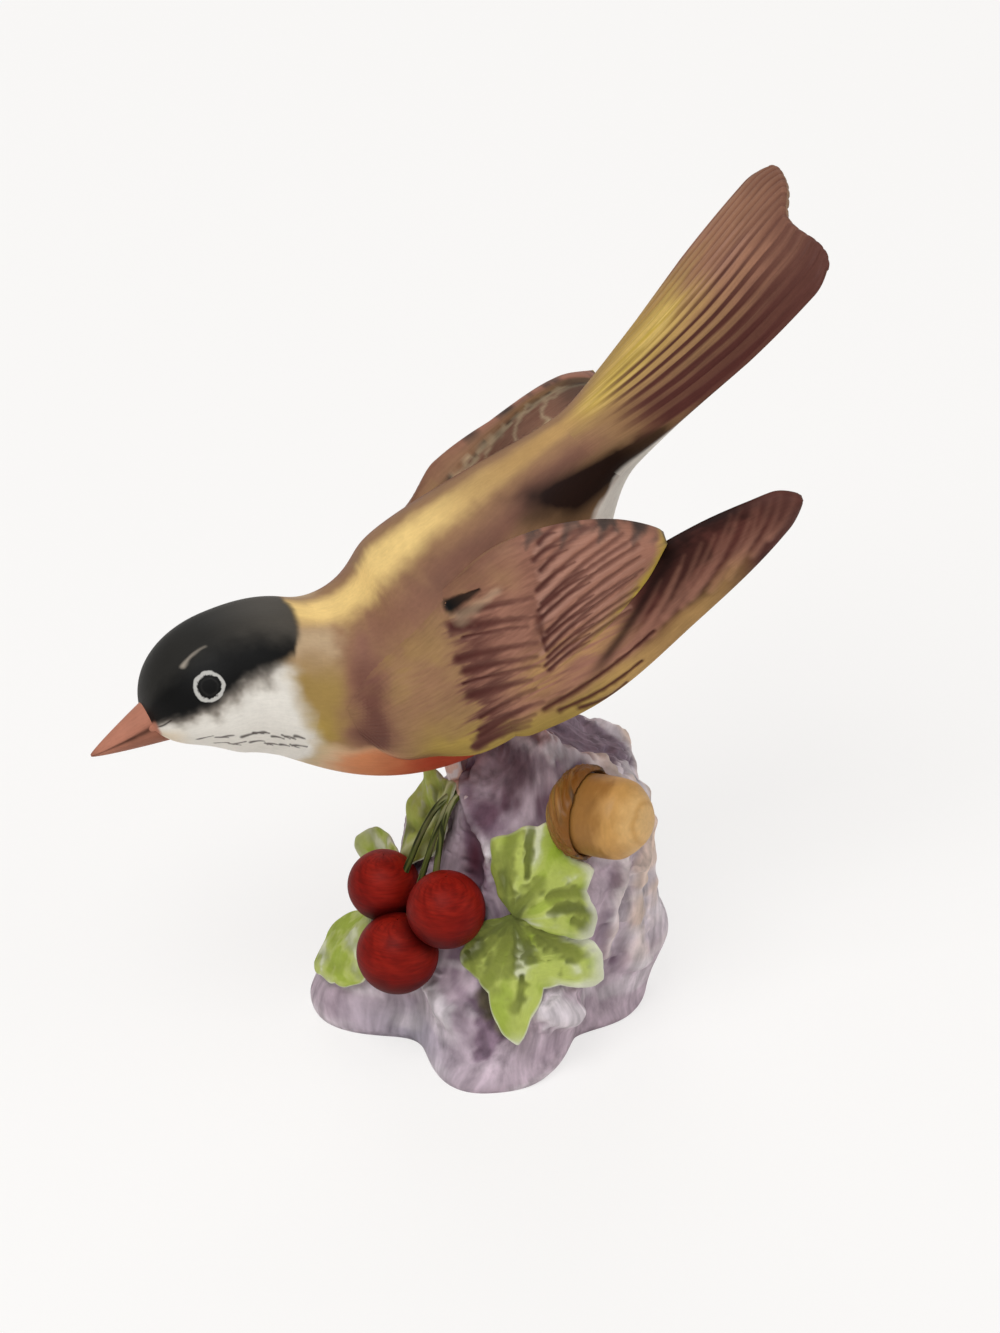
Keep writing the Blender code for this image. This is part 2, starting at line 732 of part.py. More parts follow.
def make_tail(parts, bird):
    """Fan of feathers that leaves the rump at its pitch and ends in a shallow notch."""
    along = heading(RUMP_PITCH)
    rump = np.array((RUMP_REACH, RUMP_RISE)) - along * TAIL_SINK
    lift = np.array((-along[1], along[0]))
    length = TAIL_LENGTH + TAIL_SINK

    def clear_of_rump(share):
        return max(share - TAIL_SINK / length, 0) / (1 - TAIL_SINK / length)

    def half_width(share):
        corner = math.sqrt(1 - TAIL_CORNER_DROP * max(0, (share - 1) / TAIL_CORNER_SHARE + 1) ** 2)
        flare = math.sin(clear_of_rump(share) ** TAIL_FLARE_POWER * math.pi / 2)
        return mix(RUMP_DIAMETER, TAIL_WIDTH, flare) / 2 * corner

    def tail_thickness(share):
        thinning = math.sin(min(TAIL_THINNING_RATE * clear_of_rump(share), 1) * math.pi / 2)
        return mix(RUMP_DIAMETER, TAIL_TIP_THICKNESS, thinning)

    def place(share, chord, out):
        reach = share * length - TAIL_NOTCH * smooth_step(share) * (1 - (2 * chord / TAIL_WIDTH) ** 2)
        x = rump[0] + along[0] * reach + lift[0] * out
        z = rump[1] + along[1] * reach + lift[1] * out
        return np.column_stack((x, chord, z))

    def outer(share, across):
        thick = tail_thickness(share) / 2
        ribs = ridges(across, TAIL_FEATHERS) * clear_of_rump(share)
        return (thick + TAIL_CAMBER * share) * arch(across) + ribs

    def inner(share, across):
        thick = tail_thickness(share) / 2
        return (TAIL_CAMBER * share - thick) * arch(across)

    rings = blade_rings(
        np.linspace(0, 1, TAIL_RINGS), lambda share: -half_width(share), half_width, outer, inner, place
    )
    tail = add_object("tail", loft_mesh("tail", rings), parts, bisque("mauve_tail", (0.25, 0.16, 0.14)))
    tail.parent = bird
    return tail


def toe_point(angle, across, down, out):
    """Point on a toe, given as shares of the toe's length round and down the crown from the ankle."""
    turn = angle + across * TOE_LENGTH / stump_radius(angle, FOOT_HEIGHT)
    return stump_point(turn, FOOT_HEIGHT - down * TOE_LENGTH, out)


def make_leg(name, side, parts, cutters):
    """Short shank that runs into the middle toe, with the outer toes gripping the crown across it."""
    angle = math.pi - side * LEG_ANGLE
    ankle = toe_point(angle, 0, 0, TOE_DIAMETER / 2)
    hip = ankle + np.array((-HIP_REACH, 0, HIP_RISE))
    toe = TOE_DIAMETER / 2
    shank_path = (hip, ankle, toe_point(angle, 0, TOE_KNUCKLE_SHARE, toe), toe_point(angle, 0, 1, toe / 2))
    shank = tube_mesh(name, shank_path, (LEG_DIAMETER / 2, LEG_DIAMETER / 2, toe, TOE_TIP_RATIO * toe))
    leg = add_object(name, shank, parts, bisque(f"{name}_pink", (0.62, 0.40, 0.36)))
    sides = np.linspace(-1, 1, 5)
    stands = toe * mix(*TOE_STAND_RATIOS, np.abs(sides))
    drops = mix(*TOE_DROP_SHARES, np.abs(sides))
    spread_path = [toe_point(angle, *spot) for spot in zip(sides, drops, stands)]
    spread_mesh = tube_mesh(f"{name}_toes", spread_path, stands)
    spread = add_object(f"{name}_toes", spread_mesh, cutters)
    hide_as_cutter(spread)
    boolean(leg, spread, "UNION")
    return leg


def make_leaf(name, parts):
    """Holly leaf laid on the bark: a spined outline whose edges stand off the stump."""
    angle, rise, swing, size, slenderness, spines = LEAVES[name]
    height = rise * STUMP_HEIGHT
    length = size * LEAF_LENGTH
    width = slenderness * length
    across = np.linspace(-1, 1, LEAF_TOP)
    back = across[::-2][1:-1]
    girth = stump_radius(angle, height)

    def point_row(share, sides, outs):
        along = share * length
        belly = math.sin(math.pi * mix(*LEAF_END_SHARES, share)) ** LEAF_BELLY_POWER
        depth = SPINE_RATIO * min(1, SPINE_FADE_RATE * (1 - share))
        scallop = 1 - depth * abs(math.sin(spines * math.pi * share))
        reach = sides * max(belly * scallop, STALK_RATIO) * width / 2
        turn = angle + (reach * math.cos(swing) - along * math.sin(swing)) / girth
        down = height - along * math.cos(swing) - reach * math.sin(swing)
        return np.array([stump_point(a, h, o) for a, h, o in zip(turn, down, outs)])

    def lift(sides, tip):
        """How far the blade curls off the bark, most of all at its edges and its tip."""
        return LEAF_CURL * LEAF_EDGE_RATIO * (sides**2 + tip * (1 + sides**2))

    rings = []
    for share in np.linspace(0, 1, LEAF_RINGS):
        tip = fade(share, *LEAF_TIP_SHARES)
        vein = VEIN_RATIO * LEAF_THICKNESS * (across != 0)
        top = point_row(share, across, LEAF_THICKNESS + lift(across, tip) + vein)
        under = point_row(share, back, lift(back, tip) - LEAF_THICKNESS / 2 * (1 - tip))
        rings.append(np.vstack((top, under)))
    return add_object(name, loft_mesh(name, rings), parts, bisque(f"{name}_green", (0.28, 0.40, 0.10)))


def berry_centre(name):
    angle, rise, size = BERRIES[name]
    return stump_point(angle, rise * STUMP_HEIGHT, size * BERRY_DIAMETER / 2 - BERRY_SINK)


def make_berry(name, parts):
    radius = BERRIES[name][2] * BERRY_DIAMETER / 2
    bpy.ops.mesh.primitive_uv_sphere_add(
        segments=BERRY_SEGMENTS, ring_count=BERRY_RINGS, radius=radius, location=berry_centre(name)
    )
    berry = bpy.context.object
    berry.name = name
    berry.data.name = name
    for owner in list(berry.users_collection):
        owner.objects.unlink(berry)
    parts.objects.link(berry)
    berry.data.materials.append(bisque(f"{name}_red", (0.30, 0.02, 0.015), 0.45))
    berry.data.shade_smooth()
    return berry


def make_stems(parts, cutters):
    """Three stalks that leave the bark together under the breast and arch over to the berries."""
    clear = STEM_CLEARANCE_RATIO * (LEAF_THICKNESS + LEAF_CURL + STEM_DIAMETER)
    root = stump_point(STEM_ANGLE, STEM_HEIGHT, -STEM_ROOT)
    stalks = []
    for index, (name, (angle, rise, size)) in enumerate(BERRIES.items()):
        berry_top = rise * STUMP_HEIGHT + size * BERRY_DIAMETER / 2
        arch_height = mix(STEM_HEIGHT, berry_top, STEM_ARCH_SHARE)
        knots = (
            root,
            stump_point(mix(STEM_ANGLE, angle, STEM_FAN_SHARE), STEM_HEIGHT, clear),
            stump_point(angle, arch_height, clear),
            berry_centre(name),
        )
        path = [bezier(knots, share) for share in np.linspace(0, 1, STEM_POINTS)]
        stalk_name = "berry_stems" if index == 0 else f"stalk_{index}"
        mesh = tube_mesh(stalk_name, path, np.full(STEM_POINTS, STEM_DIAMETER / 2))
        home = parts if index == 0 else cutters
        stalks.append(add_object(stalk_name, mesh, home, bisque(f"{stalk_name}_brown", (0.20, 0.15, 0.09))))
    for stalk in stalks[1:]:
        hide_as_cutter(stalk)
        boolean(stalks[0], stalk, "UNION")
    return stalks[0]


def make_acorn(parts):
    """Cup stuck to the bark and a blunt nut in it, both turned about the acorn's axis."""
    foot = Vector(stump_point(ACORN_ANGLE, ACORN_HEIGHT, -ACORN_SINK))
    aim = ACORN_ANGLE + ACORN_SWING
    outward = Vector((math.cos(aim), math.sin(aim), math.tan(ACORN_TILT))).normalized()
    turn = UP.rotation_difference(outward).to_matrix().to_4x4()
    acorn = bpy.data.objects.new("acorn", None)
    parts.objects.link(acorn)
    acorn.matrix_world = Matrix.Translation(foot) @ turn
    cup_radius = CUP_DIAMETER / 2
    nut_radius = NUT_DIAMETER / 2
    seat_radius = nut_radius + LUTING_GAP
    wall_foot = mix(CUP_FLOOR, CUP_DEPTH, CUP_WALL_RISE)
    cup_profile = [(0, CUP_FLOOR), (CUP_FLAT_RATIO * seat_radius, CUP_FLOOR), (seat_radius, wall_foot)]
    cup_profile += [(seat_radius, CUP_DEPTH), (mix(seat_radius, cup_radius, CUP_LIP_RATIO), CUP_DEPTH)]
    for share in np.linspace(0, 1, 7)[:-1]:
        swing = share * math.pi / 2
        bowl = CUP_BOWL_RATIO * CUP_DEPTH * (1 - math.sin(swing))
        cup_profile.append((cup_radius * math.cos(swing), bowl))
    cup_profile.append((0, 0))
    cup = turned("acorn_cup", cup_profile, parts, bisque("olive_cup", (0.25, 0.22, 0.08)))
    base = CUP_FLOOR + LUTING_GAP
    top = base + NUT_LENGTH
    nut_profile = [(0, top), (NUT_TIP_RATIO * nut_radius, top - NUT_TIP_DROP * NUT_LENGTH)]
    for share in np.linspace(0.15, 1, 5):
        swing = share * math.pi / 2
        width = mix(NUT_SHOULDER_RATIO, 1, math.sin(swing))
        drop = mix(*NUT_SHOULDER_DROPS, 1 - math.cos(swing))
        nut_profile.append((nut_radius * width, top - NUT_LENGTH * drop))
    nut_profile += [(nut_radius, wall_foot + LUTING_GAP), (NUT_FOOT_RATIO * nut_radius, base), (0, base)]
    nut = turned("acorn_nut", nut_profile, parts, bisque("amber_nut", (0.55, 0.31, 0.10)))
    for item in (cup, nut):
        item.parent = acorn
    return cup, nut


def main():
    clear_scene()
    parts = new_collection("bird_figurine")
    cutters = new_collection("cutters")
    stump = make_stump(parts, cutters)
    bird = bpy.data.objects.new("bird", None)
    parts.objects.link(bird)
    bird.location = (SEAT_OFFSET, 0, STUMP_HEIGHT - SEAT_DEPTH - belly_height())
    body = make_body(parts, cutters, bird)
    make_seat_vent(stump, body, cutters)
    head = make_head(parts, bird)
    make_beak(parts, head, cutters)
    tail = make_tail(parts, bird)
    seat(tail, [body], cutters)
    for name, side in (("left_wing", -1), ("right_wing", 1)):
        wing = make_wing(name, side, parts, cutters, bird)
        seat(wing, [body, head, tail], cutters)
    carriers = [stump, body]
    for name in LEAVES:
        leaf = make_leaf(name, parts)
        seat(leaf, carriers, cutters)
        carriers.append(leaf)
    cup, nut = make_acorn(parts)
    seat(cup, carriers, cutters)
    seat(nut, carriers, cutters)
    carriers += [cup, nut]
    for name in BERRIES:
        berry = make_berry(name, parts)
        seat(berry, carriers, cutters)
        carriers.append(berry)
    stems = make_stems(parts, cutters)
    seat(stems, carriers, cutters)
    carriers.append(stems)
    for name, side in (("left_leg", -1), ("right_leg", 1)):
        leg = make_leg(name, side, parts, cutters)
        seat(leg, carriers, cutters)
        carriers.append(leg)


main()
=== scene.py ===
import math

import bpy
import numpy as np
from mathutils import Matrix, Vector


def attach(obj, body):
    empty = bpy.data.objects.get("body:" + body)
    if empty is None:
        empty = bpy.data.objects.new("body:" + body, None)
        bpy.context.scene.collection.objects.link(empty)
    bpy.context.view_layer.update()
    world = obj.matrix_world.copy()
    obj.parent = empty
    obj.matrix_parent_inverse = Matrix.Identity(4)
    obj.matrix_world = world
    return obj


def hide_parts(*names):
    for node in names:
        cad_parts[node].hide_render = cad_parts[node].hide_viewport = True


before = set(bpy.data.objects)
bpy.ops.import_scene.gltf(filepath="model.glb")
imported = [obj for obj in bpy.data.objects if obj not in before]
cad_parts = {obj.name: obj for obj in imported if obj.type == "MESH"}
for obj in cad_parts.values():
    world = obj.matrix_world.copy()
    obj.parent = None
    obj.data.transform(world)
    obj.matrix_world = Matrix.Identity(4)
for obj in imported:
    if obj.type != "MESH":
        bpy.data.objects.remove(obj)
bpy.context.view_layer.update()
print("frame loaded")


# numbers and curves; lengths are in millimetres until a mesh is made
def lerp(start, end, share):
    return start + (end - start) * share


def smooth(value):
    value = np.clip(value, 0, 1)
    return value * value * (3 - 2 * value)


def fade(value, start, end):
    return smooth((value - start) / (end - start))


def until(value, start, end):
    return 1 - fade(value, start, end)


def between(value, rise, fall):
    return fade(value, *rise) * until(value, *fall)


def bump(value, middle, spread):
    return np.exp(-(((value - middle) / spread) ** 2))


def through(knots, value):
    # smooth curve through (place, size) knots: cubic Hermite with the slopes of np.gradient
    places, sizes = np.array(knots, float).T
    slopes = np.gradient(sizes, places)
    index = np.clip(np.searchsorted(places, value) - 1, 0, len(places) - 2)
    step = places[index + 1] - places[index]
    share = np.clip((value - places[index]) / step, 0, 1)
    rest = 1 - share
    start = (sizes[index] * (1 + 2 * share) + slopes[index] * step * share) * rest**2
    end = (sizes[index + 1] * (3 - 2 * share) - slopes[index + 1] * step * rest) * share**2
    return start + end


def bezier(knots, share):
    a, b, c, d = (np.asarray(knot, float) for knot in knots)
    share = np.asarray(share, float)[..., None]
    rest = 1 - share
    return a * rest**3 + 3 * b * share * rest**2 + 3 * c * share**2 * rest + d * share**3


def bezierWay(knots, share):
    # direction of the curve
    a, b, c, d = (np.asarray(knot, float) for knot in knots)
    share = np.asarray(share, float)[..., None]
    way = (b - a) * (1 - share) ** 2 + 2 * (c - b) * share * (1 - share) + (d - c) * share**2
    return way / np.linalg.norm(way, axis=-1, keepdims=True)


def heading(pitch):
    return np.array((math.cos(math.radians(pitch)), math.sin(math.radians(pitch))))


netSize = 64


def grain(x, y, seed, period=netSize):
    # value noise: random numbers on a square net, smoothly filled in; repeats after period cells
    net = np.random.default_rng(seed).random((period, netSize))
    column, row = np.floor(x).astype(int), np.floor(y).astype(int)
    right, up = smooth(x - column), smooth(y - row)
    after, above = (column + 1) % period, (row + 1) % netSize
    column, row = column % period, row % netSize
    low = lerp(net[column, row], net[after, row], right)
    high = lerp(net[column, above], net[after, above], right)
    return lerp(low, high, up)


def cloud(x, y, seed, period=netSize):
    # three sizes of grain, each half as wide and half as strong as the one before
    fine = grain(2 * x, 2 * y, seed + 1, 2 * period)
    finest = grain(4 * x, 4 * y, seed + 2, 4 * period)
    return (grain(x, y, seed, period) * 4 + fine * 2 + finest) / 7


def mottle(x, y, seed, period=netSize):
    return cloud(x, y, seed, period) - 0.5


# paint: colours are laid over each other through masks, as the painter did
tones = {
    "yellow": (0.86, 0.61, 0.24), "ochre": (0.50, 0.30, 0.11), "tan": (0.325, 0.185, 0.092),
    "olive": (0.36, 0.245, 0.065), "mauve": (0.25, 0.115, 0.080), "plum": (0.125, 0.048, 0.037),
    "umber": (0.009, 0.002, 0.0015), "slate": (0.062, 0.046, 0.040), "soot": (0.004, 0.004, 0.004),
    "charcoal": (0.022, 0.021, 0.019), "chalk": (0.80, 0.765, 0.70), "cream": (0.72, 0.57, 0.37),
    "orange": (0.64, 0.25, 0.11), "red": (0.40, 0.052, 0.022), "gold": (0.54, 0.39, 0.06),
    "taupe": (0.40, 0.35, 0.29), "coral": (0.49, 0.205, 0.135), "beakBrown": (0.085, 0.028, 0.015),
    "rose": (0.335, 0.157, 0.108), "blush": (0.44, 0.235, 0.175), "maroon": (0.075, 0.020, 0.016),
    "lilac": (0.48, 0.385, 0.445), "purple": (0.17, 0.10, 0.155), "ash": (0.70, 0.65, 0.68),
    "mist": (0.43, 0.405, 0.475), "peach": (0.70, 0.52, 0.40), "wine": (0.075, 0.020, 0.032),
    "lime": (0.46, 0.53, 0.125), "moss": (0.10, 0.12, 0.025), "sage": (0.54, 0.58, 0.30),
    "grass": (0.25, 0.36, 0.015), "milk": (0.80, 0.81, 0.68), "fern": (0.20, 0.23, 0.045),
    "crimson": (0.170, 0.004, 0.002), "garnet": (0.055, 0.001, 0.001), "brick": (0.275, 0.013, 0.006),
    "amber": (0.54, 0.29, 0.085), "honey": (0.70, 0.44, 0.18), "chestnut": (0.20, 0.075, 0.010),
    "pink": (0.66, 0.43, 0.36), "darkOlive": (0.16, 0.14, 0.075),
}


def coated(tone, like):
    return np.broadcast_to(np.array(tones[tone]), like.shape + (3,)).copy()


def lay(paint, *coats):
    for tone, mask in coats:
        paint = paint + (np.array(tones[tone]) - paint) * np.clip(mask, 0, 1)[..., None]
    return paint


def brush(x, y, start, end, widths, bend=0.0, seed=1, soft=0.0, tail=1.0, wobble=0.7):
    # one stroke from start to end, bent sideways; its width and its strength change along it
    start, end = np.array(start, float), np.array(end, float)
    way = end - start
    length = np.linalg.norm(way)
    ahead = ((x - start[0]) * way[0] + (y - start[1]) * way[1]) / length**2
    share = np.clip(ahead, 0, 1)
    off = ((y - start[1]) * way[0] - (x - start[0]) * way[1]) / length - bend * np.sin(np.pi * share)
    past = (ahead - share) * length
    rate, shift = 1.3, 7.1  # cells of grain per millimetre, and between two seeds
    ragged = 1 + wobble * (grain(x * rate + seed * shift, y * rate, seed) - 0.5)
    distance = np.hypot(off, past) * ragged
    width = lerp(*widths, share)
    return until(distance, soft * width, width) * lerp(1, tail, share)


# meshes: every piece is one or more grids of points, closed round the columns
pinch = 1e-3  # what is left of a ring that is drawn together to a point


def circle(sides, start=0.0):
    return np.linspace(start, start + 2 * np.pi, sides, endpoint=False)


def crossed(rows, columns):
    return np.meshgrid(rows, columns, indexing="ij")


def gridUv(points):
    # length along the rows and across the columns, in decimetres
    closed = np.concatenate((points, points[:, :1]), 1)
    along = np.linalg.norm(np.diff(points, axis=0), axis=-1).mean(1)
    across = np.linalg.norm(np.diff(closed, axis=1), axis=-1).mean(0)
    u, v = (np.concatenate(((0,), np.cumsum(steps))) / 100 for steps in (along, across))
    return np.stack(crossed(u, v), -1)


def gridFaces(points):
    # quads join neighbouring points and face outward; every corner has its UV
    rows, cols = points.shape[:2]
    row, col = crossed(np.arange(rows - 1), np.arange(cols))
    here, above, after = row * cols, (row + 1) * cols, (col + 1) % cols
    quads = np.stack((here + col, here + after, above + after, above + col), -1).reshape(-1, 4)
    uv = gridUv(points)
    corners = np.stack((uv[row, col], uv[row, col + 1], uv[row + 1, col + 1], uv[row + 1, col]), -2)
    corners = corners.reshape(-1, 4, 2)
    flat = points.reshape(-1, 3) - points.reshape(-1, 3).mean(0)
    a, b, c, d = (flat[quads[:, index]] for index in range(4))
    volume = np.einsum("ij,ij", a, np.cross(b, c)) + np.einsum("ij,ij", a, np.cross(c, d))
    if volume < 0:
        quads, corners = quads[:, ::-1], corners[:, ::-1]
    return quads, corners


def newObject(name, data):
    item = bpy.data.objects.new(name, data)
    bpy.context.scene.collection.objects.link(item)
    return item


def addPiece(name, patches, material, slot, *nodes, **fields):
    # a patch is a grid of points and the paint on them; fields are other values at the points
    points = np.concatenate([grid.reshape(-1, 3) for grid, paint in patches])
    paints = np.concatenate([paint.reshape(-1, 3) for grid, paint in patches])
    faces, corners, start = [], [], 0
    for grid, paint in patches:
        quads, uv = gridFaces(grid)
        faces.append(quads + start)
        corners.append(uv)
        start += grid.shape[0] * grid.shape[1]
    faces, corners = np.concatenate(faces), np.concatenate(corners)
    mesh = bpy.data.meshes.new(name)
    mesh.vertices.add(len(points))
    mesh.vertices.foreach_set("co", (points / 1000).astype(np.float32).ravel())
    mesh.loops.add(faces.size)
    mesh.loops.foreach_set("vertex_index", faces.astype(np.int32).ravel())
    mesh.polygons.add(len(faces))
    mesh.polygons.foreach_set("loop_start", np.arange(0, faces.size, 4, dtype=np.int32))
    mesh.polygons.foreach_set("use_smooth", np.ones(len(faces), bool))
    mesh.update(calc_edges=True)
    mesh.uv_layers.new(name="brushWay").data.foreach_set("uv", corners.astype(np.float32).ravel())
    colours = np.column_stack((paints, np.ones(len(paints)))).astype(np.float32)
    mesh.attributes.new("paint", "FLOAT_COLOR", "POINT").data.foreach_set("color", colours.ravel())
    for key, values in fields.items():
        field = mesh.attributes.new(key, "FLOAT", "POINT").data
        field.foreach_set("value", values.astype(np.float32).ravel())
    mesh.materials.append(material)
    piece = newObject(name, mesh)
    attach(piece, "root")
    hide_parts(*nodes)
    print(f"{name}: {len(points)} points")


def closedEnds(points, paint):
    # adds a ring drawn together to a point at both ends
    def tip(ring):
        return ring.mean(0) + (ring - ring.mean(0)) * pinch

    points = np.concatenate((tip(points[0])[None], points, tip(points[-1])[None]))
    return points, np.concatenate((paint[:1], paint, paint[-1:]))


def tube(path, radii, sides):
    # round bar along a path: two directions square to it carry the circle
    ahead = np.gradient(path, axis=0)
    ahead /= np.linalg.norm(ahead, axis=-1, keepdims=True)
    askew = (0.31, 0.22, 0.92)  # no bar runs this way
    side = np.cross(ahead, askew)
    side /= np.linalg.norm(side, axis=-1, keepdims=True)
    rise = np.cross(side, ahead)
    turn = circle(sides)[None, :, None]
    ring = side[:, None] * np.cos(turn) + rise[:, None] * np.sin(turn)
    return path[:, None] + radii[:, None, None] * ring


# materials: matt painted bisque
class Value:
    # a shader socket; the operators add Math nodes
    def __init__(self, tree, socket):
        self.tree, self.socket = tree, socket

    def into(self, slot):
        self.tree.links.new(self.socket, slot)

    def join(self, other, operation, clamp=False):
        given = {0: self, 1: other}
        return self.node("ShaderNodeMath", 0, given, operation=operation, use_clamp=clamp)

    def __add__(self, other):
        return self.join(other, "ADD")

    def __sub__(self, other):
        return self.join(other, "SUBTRACT")

    def __mul__(self, other):
        return self.join(other, "MULTIPLY")

    def clamped(self):
        return self.join(0.0, "ADD", True)

    def node(self, kind, output, inputs, **settings):
        node = self.tree.nodes.new(kind)
        for key, given in settings.items():
            setattr(node, key, given)
        for key, given in inputs.items():
            if isinstance(given, Value):
                given.into(node.inputs[key])
            else:
                node.inputs[key].default_value = given
        return Value(self.tree, node.outputs[output])

    def noise(self, place, scale, detail, output="Fac", **more):
        inputs = {"Vector": place, "Scale": scale, "Detail": detail, **more}
        return self.node("ShaderNodeTexNoise", output, inputs)

    def over(self, colour, tone, share):
        inputs = {0: share, 6: colour, 7: (*tone, 1)}
        return self.node("ShaderNodeMix", 2, inputs, data_type="RGBA")

    def lit(self, colour, strength):
        return self.node("ShaderNodeHueSaturation", "Color", {"Color": colour, "Value": strength})


def newMaterial(name):
    material = bpy.data.materials.new(name)
    material.use_nodes = True
    shader = material.node_tree.nodes["Principled BSDF"]
    return material, shader.inputs, Value(material.node_tree, shader.outputs[0])


# clay: its grain in the colour and in the surface, and how much the washes change the roughness
clay = {"scale": 2600.0, "tint": 0.10, "height": 0.35, "strength": 0.25, "deep": 0.00012, "washRough": 0.12}


def bisque(name, look, finish=None):
    # brush streaks run along the piece's UV, washes and clay grain follow Object coordinates
    material, inputs, start = newMaterial(name)
    colour = start.node("ShaderNodeAttribute", "Color", {}, attribute_name="paint")
    way = start.node("ShaderNodeUVMap", "UV", {}, uv_map="brushWay")
    place = start.node("ShaderNodeTexCoord", "Object", {})
    drawn = start.node("ShaderNodeMapping", "Vector", {"Vector": way, "Scale": (*look["hairs"], 1)})
    hair = start.noise(drawn, 1.0, 3.0, Distortion=0.4)
    wash = start.noise(place, look["washScale"], 4.0)
    speck = start.noise(place, clay["scale"], 2.0)
    tint = (hair - 0.5) * look["hair"] + (wash - 0.5) * look["wash"] + (speck - 0.5) * clay["tint"]
    colour = start.lit(colour, tint + 1.0)
    if finish:
        colour = finish(start, colour)
    colour.into(inputs["Base Color"])
    (wash * clay["washRough"] + (look["rough"] - clay["washRough"] / 2)).into(inputs["Roughness"])
    height = speck * clay["height"] + hair * look.get("furrow", 0.5)
    relief = {"Height": height, "Strength": clay["strength"], "Distance": clay["deep"]}
    start.node("ShaderNodeBump", "Normal", relief).into(inputs["Normal"])
    inputs["Specular IOR Level"].default_value = look.get("gloss", 0.1)
    return material


# bird: head, body and tail are one skin of oval rings along a bent spine
bird = {
    "place": (2.5, 0.0, 47.05), "neck": (-28.3, 7.3), "neckPitch": -15, "neckWide": 19.6,
    "rump": (12.0, 33.4), "rumpPitch": 46, "rumpWide": 11.0, "pulls": (0.46, 0.42),
    "depth": 30.2, "width": 28.0, "breast": 2.0, "fullness": 1.2,
    "headLong": 18.8, "headDepth": 17.8, "headWide": 18.2, "headRoll": 8, "headDrop": 7,
    "facePitch": -20, "faceOut": 1.2, "faceRows": 15, "crown": 1.3, "chin": 1.8, "nape": 0.45,
    "beakLong": 8.3, "beakDepth": 6.6, "beakWide": 5.7, "beakSeat": 2.2,
    "tailLong": 40.0, "tailWide": 27.6, "tailThin": 1.6, "tailSeat": 5, "tailCamber": 2.88,
    "tailNotch": 2.43, "tailCorner": 2.6, "tailLines": 15, "tailRim": 0.4, "rimRows": 5,
    "rows": (150, 170, 150), "sides": 360, "easeRows": 9, "easeReach": 22,
    "headCoat": -0.33, "tailCoat": 0.8,  # shares of the spine by which the coat runs on over head and tail
}
neck, rump = np.array(bird["neck"]), np.array(bird["rump"])
reach = np.linalg.norm(rump - neck)
bodyKnots = (neck, neck + bird["pulls"][0] * reach * heading(bird["neckPitch"]),
             rump - bird["pulls"][1] * reach * heading(bird["rumpPitch"]), rump)
neckWay = -heading(bird["neckPitch"])
faceWay = heading(bird["facePitch"]) * (-1, 1)
headEnd = neck - heading(bird["headDrop"]) * bird["headLong"]
headPull = bird["headLong"] / 3
headKnots = (neck, neck + neckWay * headPull, headEnd - faceWay * headPull, headEnd)
birdTurn = circle(bird["sides"], -np.pi)
birdDegrees = np.degrees(birdTurn)


def upright(spot):
    # (x, z) of the bird's middle plane as a point
    return np.array((spot[0], 0, spot[1]))


def bodySection(share):
    # half depths above and under the spine, and half width
    swell = np.sin(np.pi * np.clip(share, 0, 1)) ** bird["fullness"]
    mean = lerp(bird["neckWide"], bird["rumpWide"], share) / 2
    middle = (bird["neckWide"] + bird["rumpWide"]) / 4
    above = mean + (bird["depth"] / 2 - middle) * swell
    under = above + bird["breast"] * np.sin(np.pi * np.sqrt(np.clip(share, 0, 1))) ** 2
    return above, under, mean + (bird["width"] / 2 - middle) * swell


def headSection(share):
    roundOff = np.sqrt(1 - (0.982 * share) ** 4)
    nape = smooth(share / bird["nape"])
    depth = lerp(bird["neckWide"], bird["headDepth"], nape) / 2 * roundOff
    crown = bird["crown"] * np.sin(np.pi * share**0.8)
    chin = bird["chin"] * (fade(share, 0.45, 0.95) + 0.75 * bump(share, 0.72, 0.22))
    return depth + crown, depth - chin, lerp(bird["neckWide"], bird["headWide"], nape) / 2 * roundOff


def ovals(centre, along, above, under, wide):
    # ring point = centre + up * half depth * cos(turn) + side * half width * sin(turn)
    turn = birdTurn[None]
    depth = np.where(np.cos(turn) > 0, above[:, None], under[:, None]) * np.cos(turn)
    x, z = centre[:, :1] - along[:, 1:] * depth, centre[:, 1:] + along[:, :1] * depth
    return np.stack((x, wide[:, None] * np.sin(turn), z), -1)


def rolled(points, angle):
    # turns points about the axis of the neck
    axis, start = upright(neckWay), upright(neck)
    arm = points - start
    along = (arm @ axis)[..., None] * axis
    return start + along + (arm - along) * np.cos(angle) + np.cross(axis, arm) * np.sin(angle)


def headRings():
    share = np.linspace(1, 0, bird["rows"][0])
    points = ovals(bezier(headKnots, share), -bezierWay(headKnots, share), *headSection(share))
    points = rolled(points, np.radians(bird["headRoll"]) * smooth(share / bird["nape"])[:, None, None])
    face = np.linspace(np.pi / 2, 0, bird["faceRows"] + 1)[:-1, None, None]
    middle = points[0].mean(0)
    cap = middle + (points[0] - middle) * np.maximum(np.cos(face), pinch)
    cap = cap + upright(faceWay) * bird["faceOut"] * np.sin(face)
    return np.concatenate((cap, points)), np.concatenate((np.ones(bird["faceRows"]), share))


def bodyRings():
    share = np.linspace(0, 1, bird["rows"][1])
    return ovals(bezier(bodyKnots, share), bezierWay(bodyKnots, share), *bodySection(share)), share


def tailLines(across):
    # narrow furrows between the feathers of the fan
    return np.abs(np.cos(np.pi * bird["tailLines"] / 2 * across)) ** 7


